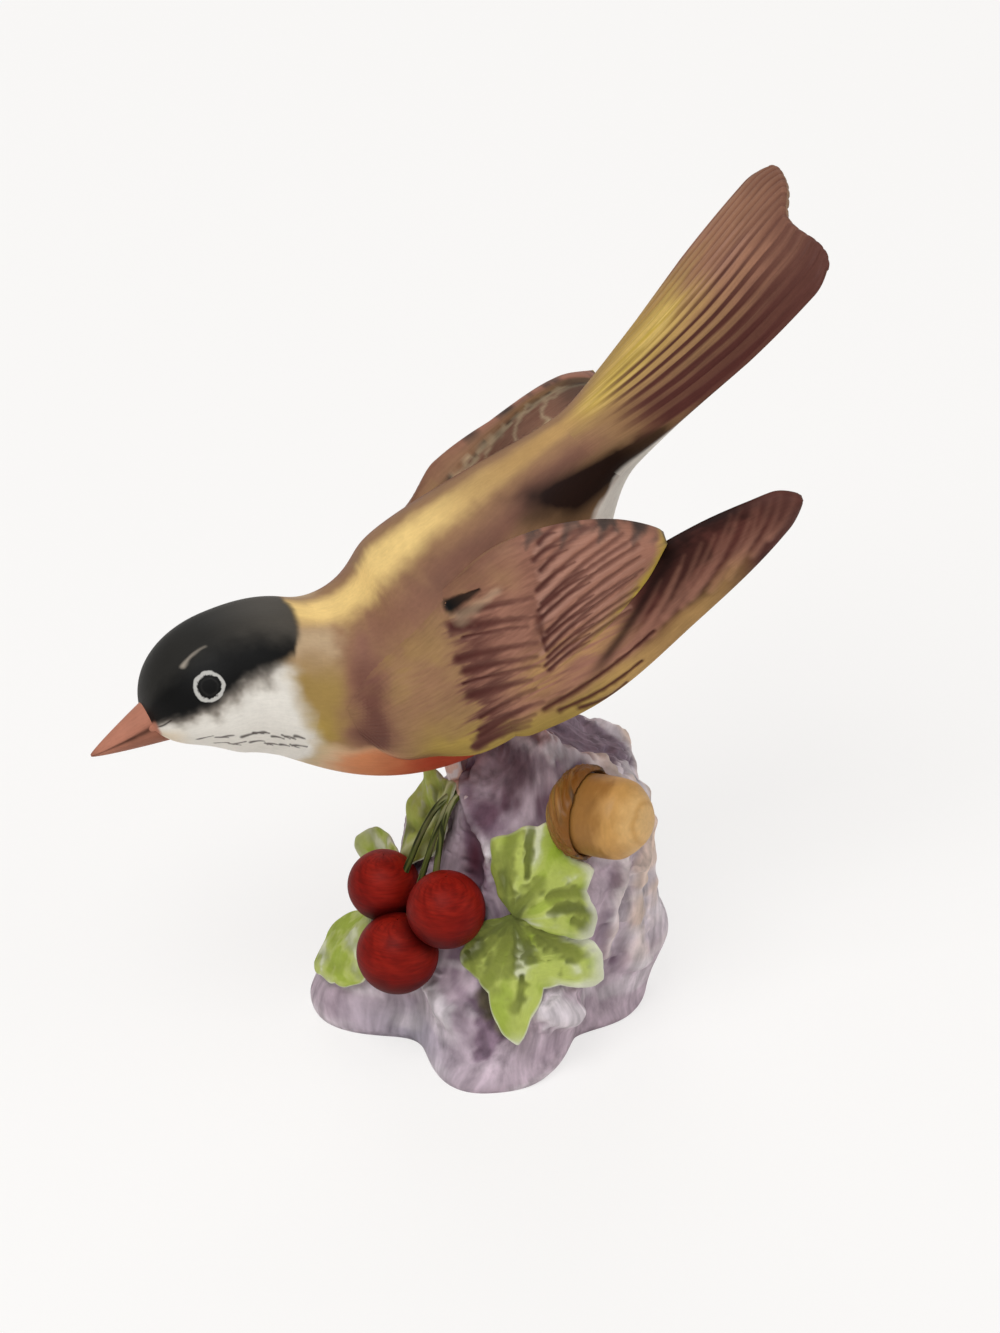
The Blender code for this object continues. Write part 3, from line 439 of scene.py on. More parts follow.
def tailRings():
    # flat ovals that widen to a fan: folded along a crease, grooved, notched, with rounded corners
    share, turn = np.linspace(0, 1, bird["rows"][2])[:, None], birdTurn[None]
    across, up = np.sin(turn), np.cos(turn)
    whole = (share * bird["tailLong"] + bird["tailSeat"]) / (bird["tailLong"] + bird["tailSeat"])
    corner = np.sqrt(1 - 0.2 * np.maximum(0, (whole - 1) / 0.07 + 1) ** 2)
    wide = lerp(bird["rumpWide"], bird["tailWide"], np.sin(share**0.8 * np.pi / 2)) / 2 * corner
    thick = lerp(bird["rumpWide"], bird["tailThin"], np.sin(np.minimum(1.3 * share, 1) * np.pi / 2)) / 2
    crease = across - np.interp(share, (0, 0.3, 0.6, 1), (-0.35, -0.25, 0.0, -0.10))
    roof = 0.35 * np.abs(up) + 0.65 * (1 - np.sqrt(crease**2 + 0.004))
    furrow = 0.24 * tailLines(across) * fade(share, 0.1, 0.45) * np.sign(up) * (1 - across**8)
    out = thick * up + bird["tailCamber"] * smooth(share) * roof - furrow
    begin = np.where(across < 0, 0.55, 0.60)
    rounding = 1 - np.sqrt(1 - 0.98 * np.clip((np.abs(across) - begin) / (1 - begin), 0, 1) ** 2)
    notch = bird["tailNotch"] * bump(across, -0.20, np.where(across < -0.20, 0.62, 0.34))
    scallop = 0.08 * tailLines(across) * fade(share, 0.9, 1)
    far = share * bird["tailLong"] - (notch + bird["tailCorner"] * rounding) * smooth(share) - scallop
    along = heading(bird["rumpPitch"])
    x, z = rump[0] + along[0] * far - along[1] * out, rump[1] + along[1] * far + along[0] * out
    points = np.stack((x, wide * across, z), -1)
    mirror = (bird["sides"] // 2 - np.arange(bird["sides"])) % bird["sides"]
    line = (points[-1] + points[-1][mirror]) / 2
    ends = np.linspace(0, np.pi / 2, bird["rimRows"] + 1)[1:, None, None]
    rim = line + (points[-1] - line) * np.maximum(np.cos(ends), pinch)
    rim = rim + upright(along) * bird["tailRim"] * np.sin(ends)
    return np.concatenate((points, rim)), np.concatenate((share[:, 0], np.ones(bird["rimRows"])))


def eased(points, joints):
    # softens the skin along the spine where two castings meet
    far = 3 * bird["easeRows"]
    kernel = bump(np.arange(-far, far + 1), 0, bird["easeRows"])
    kernel /= kernel.sum()
    padded = np.pad(points, ((far, far), (0, 0), (0, 0)), mode="edge")
    soft = sum(weight * padded[index:index + len(points)] for index, weight in enumerate(kernel))
    near = sum(bump(np.arange(len(points)), joint, bird["easeReach"]) for joint in joints)
    return lerp(points, soft, np.clip(near, 0, 1)[:, None, None])


headSkin, headShare = headRings()
bodySkin, bodyShare = bodyRings()
tailSkin, tailShare = tailRings()
joints = (len(headSkin) - 1, len(headSkin) + len(bodySkin) - 2)
skin = eased(np.concatenate((headSkin[:-1], bodySkin, tailSkin[1:])), joints) + np.array(bird["place"])
headSkin, bodySkin, tailSkin = skin[:joints[0] + 1], skin[joints[0]:joints[1] + 1], skin[joints[1]:]
print("skin shaped")


def flank(share, side):
    # dark streak between the back and the white under the tail
    middle = lerp(52, 86, fade(share, 0.82, 1.04))
    return between(share, (0.76, 0.92), (1.10, 1.36)) * bump(side, middle, np.where(side > middle, 36, 20))


def coat(share, turn):
    # body paint by share of the spine (below 0 on the head, over 1 on the tail) and degrees from the back
    blot = mottle(share * 22, turn / 14 + 40, 3)
    side = np.abs(turn) + 12 * blot
    share = share + 0.05 * blot
    along = np.clip(share, 0, 1)
    front = bump(share, 0.124, 0.060) * between(side, (18, 40), (100, 116))
    back = bump(side, lerp(34, 44, along), 15) * between(share, (0.08, 0.18), (0.95, 1.10))
    shade = np.maximum(front**2 * fade(side, 40, 75), 0.6 * back**2 * fade(share, 0.30, 0.70))
    neckBand = until(share, 0.02, 0.085)
    stripe = until(np.abs(turn + 4) + 7 * blot, 4, 23 - 3 * along)
    late = fade(share, 0.60, 0.95)
    border = np.interp(side, (52, 70, 90, 110), (-0.056, -0.050, -0.022, 0.020))
    belly = fade(side, 105, 117)
    return lay(
        coated("tan", share),
        ("mauve", np.maximum(0.95 * front, 0.75 * back)),
        ("plum", 0.8 * shade),
        ("olive", 0.75 * neckBand * fade(side, 38, 66)),
        ("cream", 0.5 * neckBand * bump(side, 34, 16)),
        ("gold", 0.25 * neckBand * bump(side, 100, 13)),
        ("yellow", stripe * (1 - 0.8 * late)),
        ("ochre", 0.7 * stripe * late),
        ("umber", np.minimum(1.35 * flank(share, side), 0.98)),
        ("chalk", until(share, border - 0.022, border + 0.028) * fade(side, 48, 58)),
        ("cream", 0.8 * belly * fade(share, 0.0, 0.06)),
        ("orange", belly * fade(share, 0.03, 0.12)),
        ("red", belly * fade(share, 0.10, 0.27)),
        ("cream", fade(side, 108, 122) * fade(share, 0.50, 0.66)),
        ("chalk", fade(side, 101, 111) * fade(share, 0.70, 0.85)),
    )


def makeBody():
    look = {"hairs": (70, 260), "hair": 0.22, "washScale": 260.0, "wash": 0.35, "rough": 0.56}
    patch = (bodySkin, coat(*crossed(bodyShare, birdDegrees)))
    addPiece("birdBody", [patch], bisque("bodyPaint", look), "body_paint", "bird_body")


# head: the cap's edge by share of the head, rows of whiskers on the chin, and the eyes
head = {
    "girth": 9, "eye": (0.622, 57.5), "ring": (0.58, 0.57, 0.54), "iris": (0.024, 0.023, 0.022),
    "edge": ((0.05, 26), (0.10, 34), (0.127, 48), (0.264, 59), (0.468, 67), (0.619, 74), (0.749, 75),
             (0.833, 74), (0.9, 72), (1, 70)),
    "whiskers": ((111, (0.80, 0.66, 0.52, 0.41, 0.29, 0.18, 0.10)),
                 (122, (0.70, 0.58, 0.46, 0.31, 0.20, 0.08))),
}


def eyeRing(start, colour):
    # white ring painted round the eye by hand, and a faint iris inside it
    place = start.node("ShaderNodeTexCoord", "Object", {})
    ragged = start.noise(place, 1900.0, 2.0)
    away = start.node("ShaderNodeAttribute", "Fac", {}, attribute_name="fromEye")
    away = away + (start.noise(place, 520.0, 3.0) - 0.5) * 0.75
    thick = away + (ragged - 0.5) * 0.7
    ring = ((thick - 1.40) * 6.0).clamped() * ((away - 2.05) * -7.0).clamped() * 0.9
    iris = ((away - 0.85) * 5.0).clamped() * ((away - 1.25) * -5.0).clamped() * ragged
    return start.over(start.over(colour, head["iris"], iris), head["ring"], ring)


def makeHead():
    share, turn = crossed(headShare, birdDegrees)
    side = np.abs(turn)
    ragged = mottle(share * 14, turn / 9 + 40, 11)
    edge = np.interp(share, *np.transpose(head["edge"]))
    wash = fade(share, 0.12, 0.3) * until(side + 18 * ragged, edge - 2, edge + 17)
    cap = fade(share + 0.03 * ragged, 0.06, 0.115) * until(side + 9 * ragged, edge - 7, edge + 5)
    sheen = cap * until(side + 10 * ragged, 22, 46)
    paint = lay(
        coat(bird["headCoat"] * share, turn),
        ("cream", 0.6 * fade(share, 0.80, 0.95) * fade(side, 78, 95)),
        ("taupe", 0.8 * wash),
        ("slate", 0.6 * wash**2),
        ("soot", cap),
        # painted highlight: the top of the cap greyer, with a little taupe towards its back
        ("charcoal", sheen),
        ("taupe", 0.14 * sheen * until(share, 0.12, 0.55)),
    )

    scale = np.array((bird["headLong"], np.pi / 180 * head["girth"]))

    def streak(start, end, *rest):
        return brush(share * scale[0], side * scale[1], start * scale, end * scale, *rest)

    rng = np.random.default_rng(17)
    for row, (angle, places) in enumerate(head["whiskers"]):
        for number, place in enumerate(places):
            tilt, drop, length = rng.uniform(-1, 5), rng.uniform(-3, 3), rng.uniform(0.06, 0.12)
            low = angle + drop
            ends = (place, low), (place - length, low - tilt)
            mark = streak(*ends, (0.36, 0.18), 0.1, number + 9 * row, 0.2)
            if number % 2:
                ends = (place + 0.03, low - 1), (place - 0.05, low + 1.5)
                mark = np.maximum(mark, streak(*ends, (0.30, 0.14), 0.0, number + 30, 0.2))
            paint = lay(paint, ("slate", 0.9 * mark))
    paint = lay(
        paint,
        ("taupe", 0.8 * streak((0.700, 31.5), (0.555, 27.5), (0.50, 0.30), 0.22, 50, 0.1, 0.45)),
        ("umber", 0.9 * streak((1.0, 78), (0.90, 71), (0.40, 0.22), 0.0, 51, 0.2)),
        ("coral", fade(share, 0.97, 0.99) * fade(side, 58, 70)),
    )
    eyeShare, eyeTurn = head["eye"]
    row = np.abs(headShare - eyeShare).argmin()
    eyes = [headSkin[row, np.abs(birdDegrees - angle).argmin()] for angle in (-eyeTurn, eyeTurn)]
    fromEye = np.minimum(*(np.linalg.norm(headSkin - eye, axis=-1) for eye in eyes))
    look = {"hairs": (60, 420), "hair": 0.16, "washScale": 240.0, "wash": 0.22, "rough": 0.52, "gloss": 0.12}
    material = bisque("headPaint", look, eyeRing)
    addPiece("birdHead", [(headSkin, paint)], material, "head_paint", "bird_head", fromEye=fromEye)


def makeTail():
    share, turn = crossed(tailShare, birdTurn)
    across, spine = np.sin(turn), 1 + bird["tailCoat"] * share
    drift = mottle(share * 5, across * 5 + 20, 21)
    hairs = mottle(share * 4, across * 22 + 30, 24)
    streak = flank(spine, np.abs(np.degrees(turn)))
    fan = fade(share + 0.12 * drift, 0.03, 0.26) * (1 - 0.9 * np.clip(1.3 * streak, 0, 1))
    golden = bump(across + 0.14 * drift, lerp(-0.25, 0.55, np.sqrt(share)), 0.30)
    golden = golden * until(share + 0.25 * drift, 0.34, 0.72) * fade(share + 0.1 * drift, -0.02, 0.16)
    golden = golden * np.clip(np.cos(turn) * 4, 0, 1)
    pale = between(share, (0.45, 0.65), (0.80, 1.0)) * bump(across, 0.25, 0.35) * fade(hairs, -0.05, 0.2)
    near = fade(-across + 0.25 * drift, -0.28, 0.10)
    stripes = fade(np.cos(np.pi * 0.85 * bird["tailLines"] * (across + 0.04 * hairs)), -0.5, 0.6)
    under = fade(-np.cos(turn), 0.1, 0.35)
    paint = lay(
        coat(spine, np.degrees(turn)),
        ("ochre", 0.95 * fan),
        ("olive", 0.55 * fan * fade(across + 0.3 * drift, 0.15, 0.6)),
        ("tan", 0.6 * fan * fade(-across + 0.2 * drift, -0.1, 0.4)),
        ("gold", 0.8 * golden),
        ("yellow", 0.5 * golden * fade(hairs, -0.1, 0.15)),
        ("rose", 0.85 * fade(share + 0.25 * drift + 0.10 * across, 0.44, 0.80)),
        ("blush", 0.5 * pale),
        ("plum", 0.85 * fan * fade(-across + 0.15 * drift, 0.15, 0.80)),
        ("maroon", 0.65 * fan * fade(-across + 0.15 * drift, 0.45, 0.98)),
        ("plum", 0.6 * fade(share + 0.2 * drift, 0.80, 1.03)),
        ("plum", 0.9 * stripes * near * fade(share + 0.1 * drift, 0.06, 0.30) * (1 - 0.4 * share)),
        ("maroon", 0.9 * stripes**2 * near * between(share, (0.10, 0.30), (0.60, 1.05))),
        ("plum", 0.5 * tailLines(across) * (1 - near) * fade(share, 0.35, 0.6)),
        ("chalk", under * (1 - 0.9 * fade(share + 0.1 * drift, 0.12, 0.4))),
        ("tan", 0.5 * under * fade(share, 0.3, 0.5)),
    )
    look = {"hairs": (24, 380), "hair": 0.42, "washScale": 300.0, "wash": 0.3, "rough": 0.56, "furrow": 0.8}
    addPiece("tailFan", [(tailSkin, paint)], bisque("tailPaint", look), "tail_paint", "tail")


def makeBeak():
    # cone along the face: half depth and width shrink as (1 - share)^0.85, with a groove along the gape
    share, turn = crossed(np.linspace(0, 1, 60), circle(96))
    taper = (1 - share) ** 0.85 + 0.05
    gape = bump(np.cos(turn), 0.18 - 0.25 * share, 0.20 - 0.11 * share)
    start = headEnd - faceWay * bird["beakSeat"]
    far = (bird["beakLong"] + bird["beakSeat"]) * share
    rise = bird["beakDepth"] / 2 * taper * np.cos(turn)
    side = bird["beakWide"] / 2 * taper * np.sin(turn) * (1 - 0.13 * gape)
    x, z = start[0] + faceWay[0] * far + faceWay[1] * rise, start[1] + faceWay[1] * far - faceWay[0] * rise
    points = rolled(np.stack((x, side, z), -1), np.radians(bird["headRoll"])) + np.array(bird["place"])
    shade = 0.6 + 0.6 * cloud(share * 6, turn * 2, 31)
    paint = lay(
        coated("coral", share),
        # painted shade: the underside of the beak darker brown
        ("beakBrown", 0.55 * fade(-np.cos(turn), -0.22, 0.3) * (1 - 0.6 * share) * shade),
        ("umber", 0.95 * gape * shade * (1 - 0.45 * share)),
        ("beakBrown", 0.4 * fade(share, 0.88, 1)),
    )
    look = {"hairs": (60, 500), "hair": 0.3, "washScale": 500.0, "wash": 0.3, "rough": 0.5}
    addPiece("beakCone", [closedEnds(points, paint)], bisque("beakPaint", look), "beak_paint", "beak")


makeBody()
makeHead()
makeTail()
makeBeak()

# wings: a blade of flight feathers under a shoulder with its coverts, both in the plane of the folded wing
wing = {
    "long": 63.3, "covert": 46.02, "chord": 28.0, "bulge": 2.6, "edge": 1.0, "thin": 1.9, "sink": 5.0,
    "pitch": 23.5, "spread": 7.5, "cant": 14, "shoulder": (-25.2, 11.0, 7.6), "flightStart": 0.20,
    "farCovert": 4.2, "farRise": 2.8, "groove": 0.28, "rows": 190, "across": 150, "under": 46,
    "search": 9.0, "noBody": -20.0,
    # lines of the edges: share of the length, share of the chord
    "leading": ((0, -0.09), (0.04, -0.30), (0.142, -0.43), (0.284, -0.49), (0.458, -0.50), (0.711, -0.34),
                (0.894, -0.19), (1, -0.075)),
    "covertLow": ((0, -0.09), (0.055, -0.30), (0.19, -0.43), (0.39, -0.47), (0.52, -0.40), (0.74, -0.235),
                  (0.85, -0.12), (0.93, -0.03), (1, 0.03)),
    "covertHigh": ((0, 0.02), (0.087, 0.11), (0.2, 0.18), (0.36, 0.28), (0.587, 0.40), (0.856, 0.315),
                   (0.93, 0.25), (1, 0.19)),
    "flightHigh": ((0, -0.25), (0.16, -0.20), (0.4, 0.0), (0.663, 0.06), (0.742, 0.078), (0.806, 0.085),
                   (0.9, 0.078), (0.966, 0.064), (1, 0.04)),
}


def wingPlace(side, along, chord, out):
    # point by distance along the wing, across it and out of its plane; side is 1 on the bird's right
    pitch, spread, cant = (math.radians(wing[key]) for key in ("pitch", "spread", "cant"))
    span = np.array((math.cos(pitch) * math.cos(spread), side * math.sin(spread), math.sin(pitch)))
    outward = np.array((0, side * math.cos(cant), math.sin(cant)))
    outward = outward - span * (outward @ span) / (span @ span)
    outward /= np.linalg.norm(outward)
    rise = np.cross(span, outward)
    rise = rise * np.sign(rise[2])
    shoulder = np.array(wing["shoulder"]) * (1, side, 1)
    return shoulder + along[..., None] * span + chord[..., None] * rise + out[..., None] * outward


def onBody(points):
    # nearest share of the spine, degrees from the back, and how far out in half widths (1 is the skin)
    grid = np.linspace(0, 1, 120)
    centre = bezier(bodyKnots, grid)
    flat = points.reshape(-1, 3)
    gap = (flat[:, :1] - centre[:, 0]) ** 2 + (flat[:, 2:] - centre[:, 1]) ** 2
    share = grid[gap.argmin(1)]
    along = bezierWay(bodyKnots, share)
    arm = flat[:, ::2] - bezier(bodyKnots, share)
    depth = arm[:, 1] * along[:, 0] - arm[:, 0] * along[:, 1]
    past = np.abs(arm[:, 0] * along[:, 0] + arm[:, 1] * along[:, 1])
    above, under, wide = bodySection(share)
    high = depth / np.where(depth > 0, above, under)
    out = np.hypot(high, flat[:, 1] / wide) + np.where(past > 1, 1, 0)
    turn = np.degrees(np.arctan2(flat[:, 1] / wide, high))
    return tuple(values.reshape(points.shape[:-1]) for values in (share, turn, out))


def bodyUnder(along, chord):
    # height of the body's skin over the wing plane, by halving; far below where there is none
    low, high = np.full(along.shape, -wing["search"]), np.full(along.shape, wing["search"])
    reached = onBody(wingPlace(1, along, chord, low))[2] < 1
    for _ in range(14):
        middle = (low + high) / 2
        inside = onBody(wingPlace(1, along, chord, middle))[2] < 1
        low, high = np.where(inside, middle, low), np.where(inside, high, middle)
    return np.where(reached, low, wing["noBody"])


def arch(across, power):
    return np.maximum(4 * across * (1 - across), 0) ** power


def fanned(starts, ends, count, stray=0.0, offset=0.0):
    # strokes from points spread along one line to points spread along another, each a little astray
    rng = np.random.default_rng(count)
    strokes = []
    for spot in (np.arange(count) + offset) / (count - 1 + 2 * offset):
        pair = []
        for line in (starts, ends):
            places = [np.interp(spot, np.linspace(0, 1, len(line)), column) for column in np.transpose(line)]
            pair.append(np.array(places) + stray * rng.uniform(-1, 1, 2))
        strokes.append(pair)
    return strokes


# strokes of the wing by their ends, in millimetres along and across it
covertRoots = ((18.6, 5.4), (16.6, -0.3), (14.4, -9.4), (13.4, -12.2))
covertEnds = ((27.6, 4.4), (24.8, -3.4), (23.2, -9.0), (19.6, -12.6))
featherRoots = ((31.4, 9.4), (28.8, 3.2), (26.8, -1.8), (25.8, -6.4))
featherEnds = ((36.4, 10.4), (40.4, 7.4), (43.2, 4.4), (41.2, 0.3), (37.6, -4.0))
barbRoots, barbEnds = ((33.0, -8.6), (45.0, -6.6), (57.0, -3.4)), ((43.5, -1.4), (55.0, 1.6), (63.0, 0.8))
plumage = {
    "coverts": fanned(covertRoots, covertEnds, 13, 0.7),
    "secondaries": fanned(featherRoots, featherEnds, 13, 0.5),
    "ridges": fanned(featherRoots, featherEnds, 12, 0.4, 0.5),
    "barbs": fanned(barbRoots, barbEnds, 12, 0.6),
    "edges": (((23.1, -10.7), (39.5, -7.6)), ((24.7, -11.9), (36.5, -10.8)), ((27.0, -13.0), (33.5, -12.8))),
    "tips": (((37.2, 11.2), (34.0, 8.2)), ((41.2, 9.6), (38.4, 6.8)), ((44.4, 7.0), (42.0, 4.6)),
             ((32.0, 12.0), (30.0, 9.8))),
    "shadow": ((27.6, 1.6), (26.6, -3.2)), "light": ((19.0, 5.4), (24.6, 6.8)),
    "slit": ((18.3, 6.7), (22.6, 7.7)),
    "scales": (17.0, 23.0, 29.0, 34.5, 39.5, 44.5, 49.0),
    "lineA": ((-12.2, 13.4), (-9.4, 14.4), (-0.3, 16.6), (5.4, 18.6), (9.0, 21.5)),
    "lineB": ((-6.4, 25.8), (-1.8, 26.8), (3.2, 28.8), (9.4, 31.4)),
}


def wingGround(along, chord, low, high, bare, flight):
    # washes under the strokes; bare is the body's coat, which runs on over the shoulder
    blot = mottle(along / 4 + 9, chord / 4 + 30, 41)
    fine = mottle(along / 1.6 + 9, chord * 1.1 + 30, 44)
    hairs = mottle(along / 5 + 9, chord * 2.4 + 30, 47)
    top, bottom = high - chord, chord - low
    shoulder = fade(along + 4 * blot, 3.5, 9)
    early = shoulder * until(along, 13, 19)
    pastA, pastB = (along - np.interp(chord, *np.transpose(plumage[line])) for line in ("lineA", "lineB"))
    zone = fade(pastA + 6 * hairs + 2 * blot, -1.4, 1.8) * fade(chord + 3 * blot, -13.5, -8.5)
    zone = zone * (1 - 0.8 * fade(chord + 4 * blot, 4.5, 8.5) * until(along + 4 * blot, 25, 31))
    glow = bump(along, 31, 6.5) * bump(chord + 3 * blot, -5.0, 2.6)
    glow = glow + 0.8 * bump(along, 24, 3) * bump(chord, -6.5, 2.2)
    rim = until(bottom + 1.5 * blot, 1.4, 4.2)
    paint = lay(
        bare,
        ("tan", 0.9 * shoulder * fade(top + 4 * blot, 1.5, 7)),
        ("olive", 0.25 * early * fade(blot + 0.4 * hairs, -0.1, 0.25)),
        ("mauve", 0.35 * early * fade(-blot + 0.6 * hairs, 0.0, 0.3)),
        ("olive", 0.85 * shoulder * until(chord + 7 * blot, -10.5, -4.0) * until(along, 30, 42)),
        ("gold", 0.35 * shoulder * until(chord + 9 * blot, -12.5, -8.0) * until(along, 20, 30)),
        ("plum", 0.55 * until(bottom + 2 * blot, 0.3, 2.6) * between(along, (2, 5), (8, 13))),
        ("rose", zone),
        ("plum", 0.95 * zone * until(pastA + 9 * hairs, 0.5, 7)),
        ("plum", 0.4 * zone * bump(pastB + 7 * hairs, -0.5, 1.6)),
        ("ochre", 0.8 * glow * fade(hairs, -0.25, 0.2)),
        ("olive", 0.8 * rim * between(along, (6, 12), (34, 44))),
    )
    if not flight:
        ragged = until(top + 3 * fine, 0.2, 1.8) * fade(blot + 0.5 * fine, -0.1, 0.12)
        paint = lay(
            paint,
            ("gold", 0.9 * until(bottom + 1.2 * fine, 0.3, 2.8) * fade(along, 31, 38)),
            ("slate", 0.9 * ragged * fade(along, 26, 33)),
        )
        return paint, np.zeros(along.shape)
    paint = lay(
        paint,
        ("maroon", 0.95 * fade(along + 4 * blot, 34, 41)),
        ("umber", 0.5 * fade(blot, 0.0, 0.2) * fade(along, 38, 44)),
    )
    furrow = np.zeros(along.shape)
    for number, ends in enumerate(plumage["barbs"]):
        mark = brush(along, chord, *ends, (1.05, 0.5), -0.5, number + 60, 0.0, 0.25, 0.4)
        paint = lay(paint, ("rose", 0.65 * mark))
        furrow = np.maximum(furrow, mark)
    cover = wing["chord"] * through(wing["covertLow"], np.clip(along / wing["covert"], 0, 1))
    paint = lay(
        paint,
        ("umber", 0.85 * until(top + 2.5 * fine, 0.3, 2.6) * between(along, (40, 45), (54, 60))),
        ("plum", 0.6 * fade(along + 3 * blot, 56, 62)),
        ("ochre", 0.75 * rim * fade(along, 26, 34) * until(along + 4 * blot, 46, 56)),
        # painted shadow: a dark line on the flight feathers just below the coverts' lower edge
        ("umber", 0.8 * bump(chord - cover, -0.5, 0.9) * between(along, (28, 34), (45, 48))),
    )
    return paint, 0.8 * (1 - furrow) * fade(along, 38, 44)


def wingPaint(along, chord, low, high, bare, flight):
    # paint and groove depth at places of the wing plane
    def stroke(start, end, *rest):
        return brush(along, chord, start, end, *rest)

    paint, furrow = wingGround(along, chord, low, high, bare, flight)
    for number, (start, end) in enumerate(plumage["coverts"]):
        bulk = 0.8 + 0.5 * math.sin(2.3 * number)
        mark = stroke(start, end, (1.05 * bulk, 0.5), 0.3, number, 0.15, 0.55)
        heart = lerp(start, end, 0.5 + 0.3 * bulk)
        core = stroke(start, heart, (0.85 * bulk, 0.25), 0.2, number + 10, 0.0, 0.3)
        paint = lay(paint, ("plum", mark), ("maroon", 0.95 * core))
        furrow = np.maximum(furrow, 0.9 * mark)
    for number, ends in enumerate(plumage["ridges"]):
        paint = lay(paint, ("blush", 0.8 * stroke(*ends, (0.65, 0.4), 0.5, number + 70, 0.0, 0.4)))
    for number, (start, end) in enumerate(plumage["secondaries"]):
        mark = stroke(start, end, (0.6, 0.42), 0.5, number + 20, 0.0, 0.7)
        core = stroke(start, lerp(start, end, 0.5), (0.5, 0.2), 0.3, number + 25)
        paint = lay(paint, ("plum", 0.95 * mark), ("maroon", 0.7 * core))
        furrow = np.maximum(furrow, mark)
    for number, ends in enumerate(plumage["edges"]):
        mark = stroke(*ends, (0.75, 0.4), -0.6, number + 40)
        paint = lay(paint, ("maroon", 0.95 * mark))
        furrow = np.maximum(furrow, mark)
    if not flight:
        for number, ends in enumerate(plumage["tips"]):
            paint = lay(paint, ("slate", 0.95 * stroke(*ends, (1.6, 0.3), 0.0, number + 90, 0.1, 0.5)))
        gash = stroke(*plumage["slit"], (1.15, 0.25), 0.0, 99, 0.35, 0.8, 0.3)
        paint = lay(
            paint,
            ("maroon", 0.75 * stroke(*plumage["shadow"], (0.9, 0.4), 0.0, 97)),
            ("cream", 0.25 * stroke(*plumage["light"], (1.5, 0.8), 0.0, 98)),
            ("soot", gash),
        )
        furrow = furrow + 2.4 * gash
    return paint, wing["groove"] * furrow


def innerPaint(along, chord, high):
    # face of the wing toward the body: a few broad feathers along the rim
    top = high - chord
    hairs = mottle(along / 5 + 9, chord * 2.0 + 30, 49)
    streaks = fade(hairs, -0.05, 0.2)
    paint = lay(coated("tan", along), ("mauve", 0.4 * streaks + 0.3 * fade(top, 3.5, 6)))

    def stroke(place, start, end, widths, *rest):
        ends = ((place + start[0], start[1]), (place + end[0], end[1]))
        return brush(along, top, *ends, widths, 0.0, *rest)

    for number, place in enumerate(plumage["scales"]):
        feather = stroke(place, (-6.0, 3.8), (0.4, 2.9), (2.0, 1.75), number, 0.75, 1.0, 0.3)
        paint = lay(
            paint,
            ("cream", 0.7 * stroke(place, (-6.0, 3.8), (0.4, 2.9), (2.5, 2.3), number, 0.75, 1.0, 0.3)),
            ("rose", 0.9 * feather),
            ("mauve", 0.6 * feather * streaks),
            ("gold", 0.8 * stroke(place, (-0.5, 5.4), (3, 4.4), (1.0, 0.7), number + 9)),
            ("slate", 0.9 * stroke(place, (0.6, 2.2), (3.6, 1.0), (1.5, 0.5), number + 13, 0.2)),
        )
    return lay(paint, ("slate", 0.7 * fade(along, 41, 47) * until(top + 6 * hairs, 2, 5)))


def shoulderCrown(share, outer, along, chord, wide, length):
    # height of the shoulder over the wing plane: a swelling that runs into the body in front and above
    ground = bodyUnder(along, chord)
    swell = lerp(wing["bulge"], 1.7 * wing["thin"], fade(share, 0.25, 1))
    front = np.maximum(np.sqrt(1 - (1 - np.minimum(share / 0.30, 1)) ** 2), 0.05)
    crown = swell * front * arch(outer, 0.6) - wing["edge"]
    blend = lerp(0.5, 2.2, smooth(outer * 2.5)) * (1 - 0.75 * fade(share, 0.45, 0.7))
    crown = (crown + ground + np.sqrt((crown - ground) ** 2 + blend**2)) / 2 + 0.03
    upper, lower = np.minimum((1 - outer) * wide, 0.9 * share * length), outer * wide
    flush = (1 - smooth(upper / 7)) * until(share, 0.36, 0.52)
    flush = np.maximum(flush, 0.8 * (1 - smooth(lower / 3)) * until(share, 0.12, 0.30))
    rim = 1 - smooth(np.minimum(upper, lower) / 1.4)
    return lerp(crown, ground + 0.05 - 0.4 * rim, flush * (ground > -6))


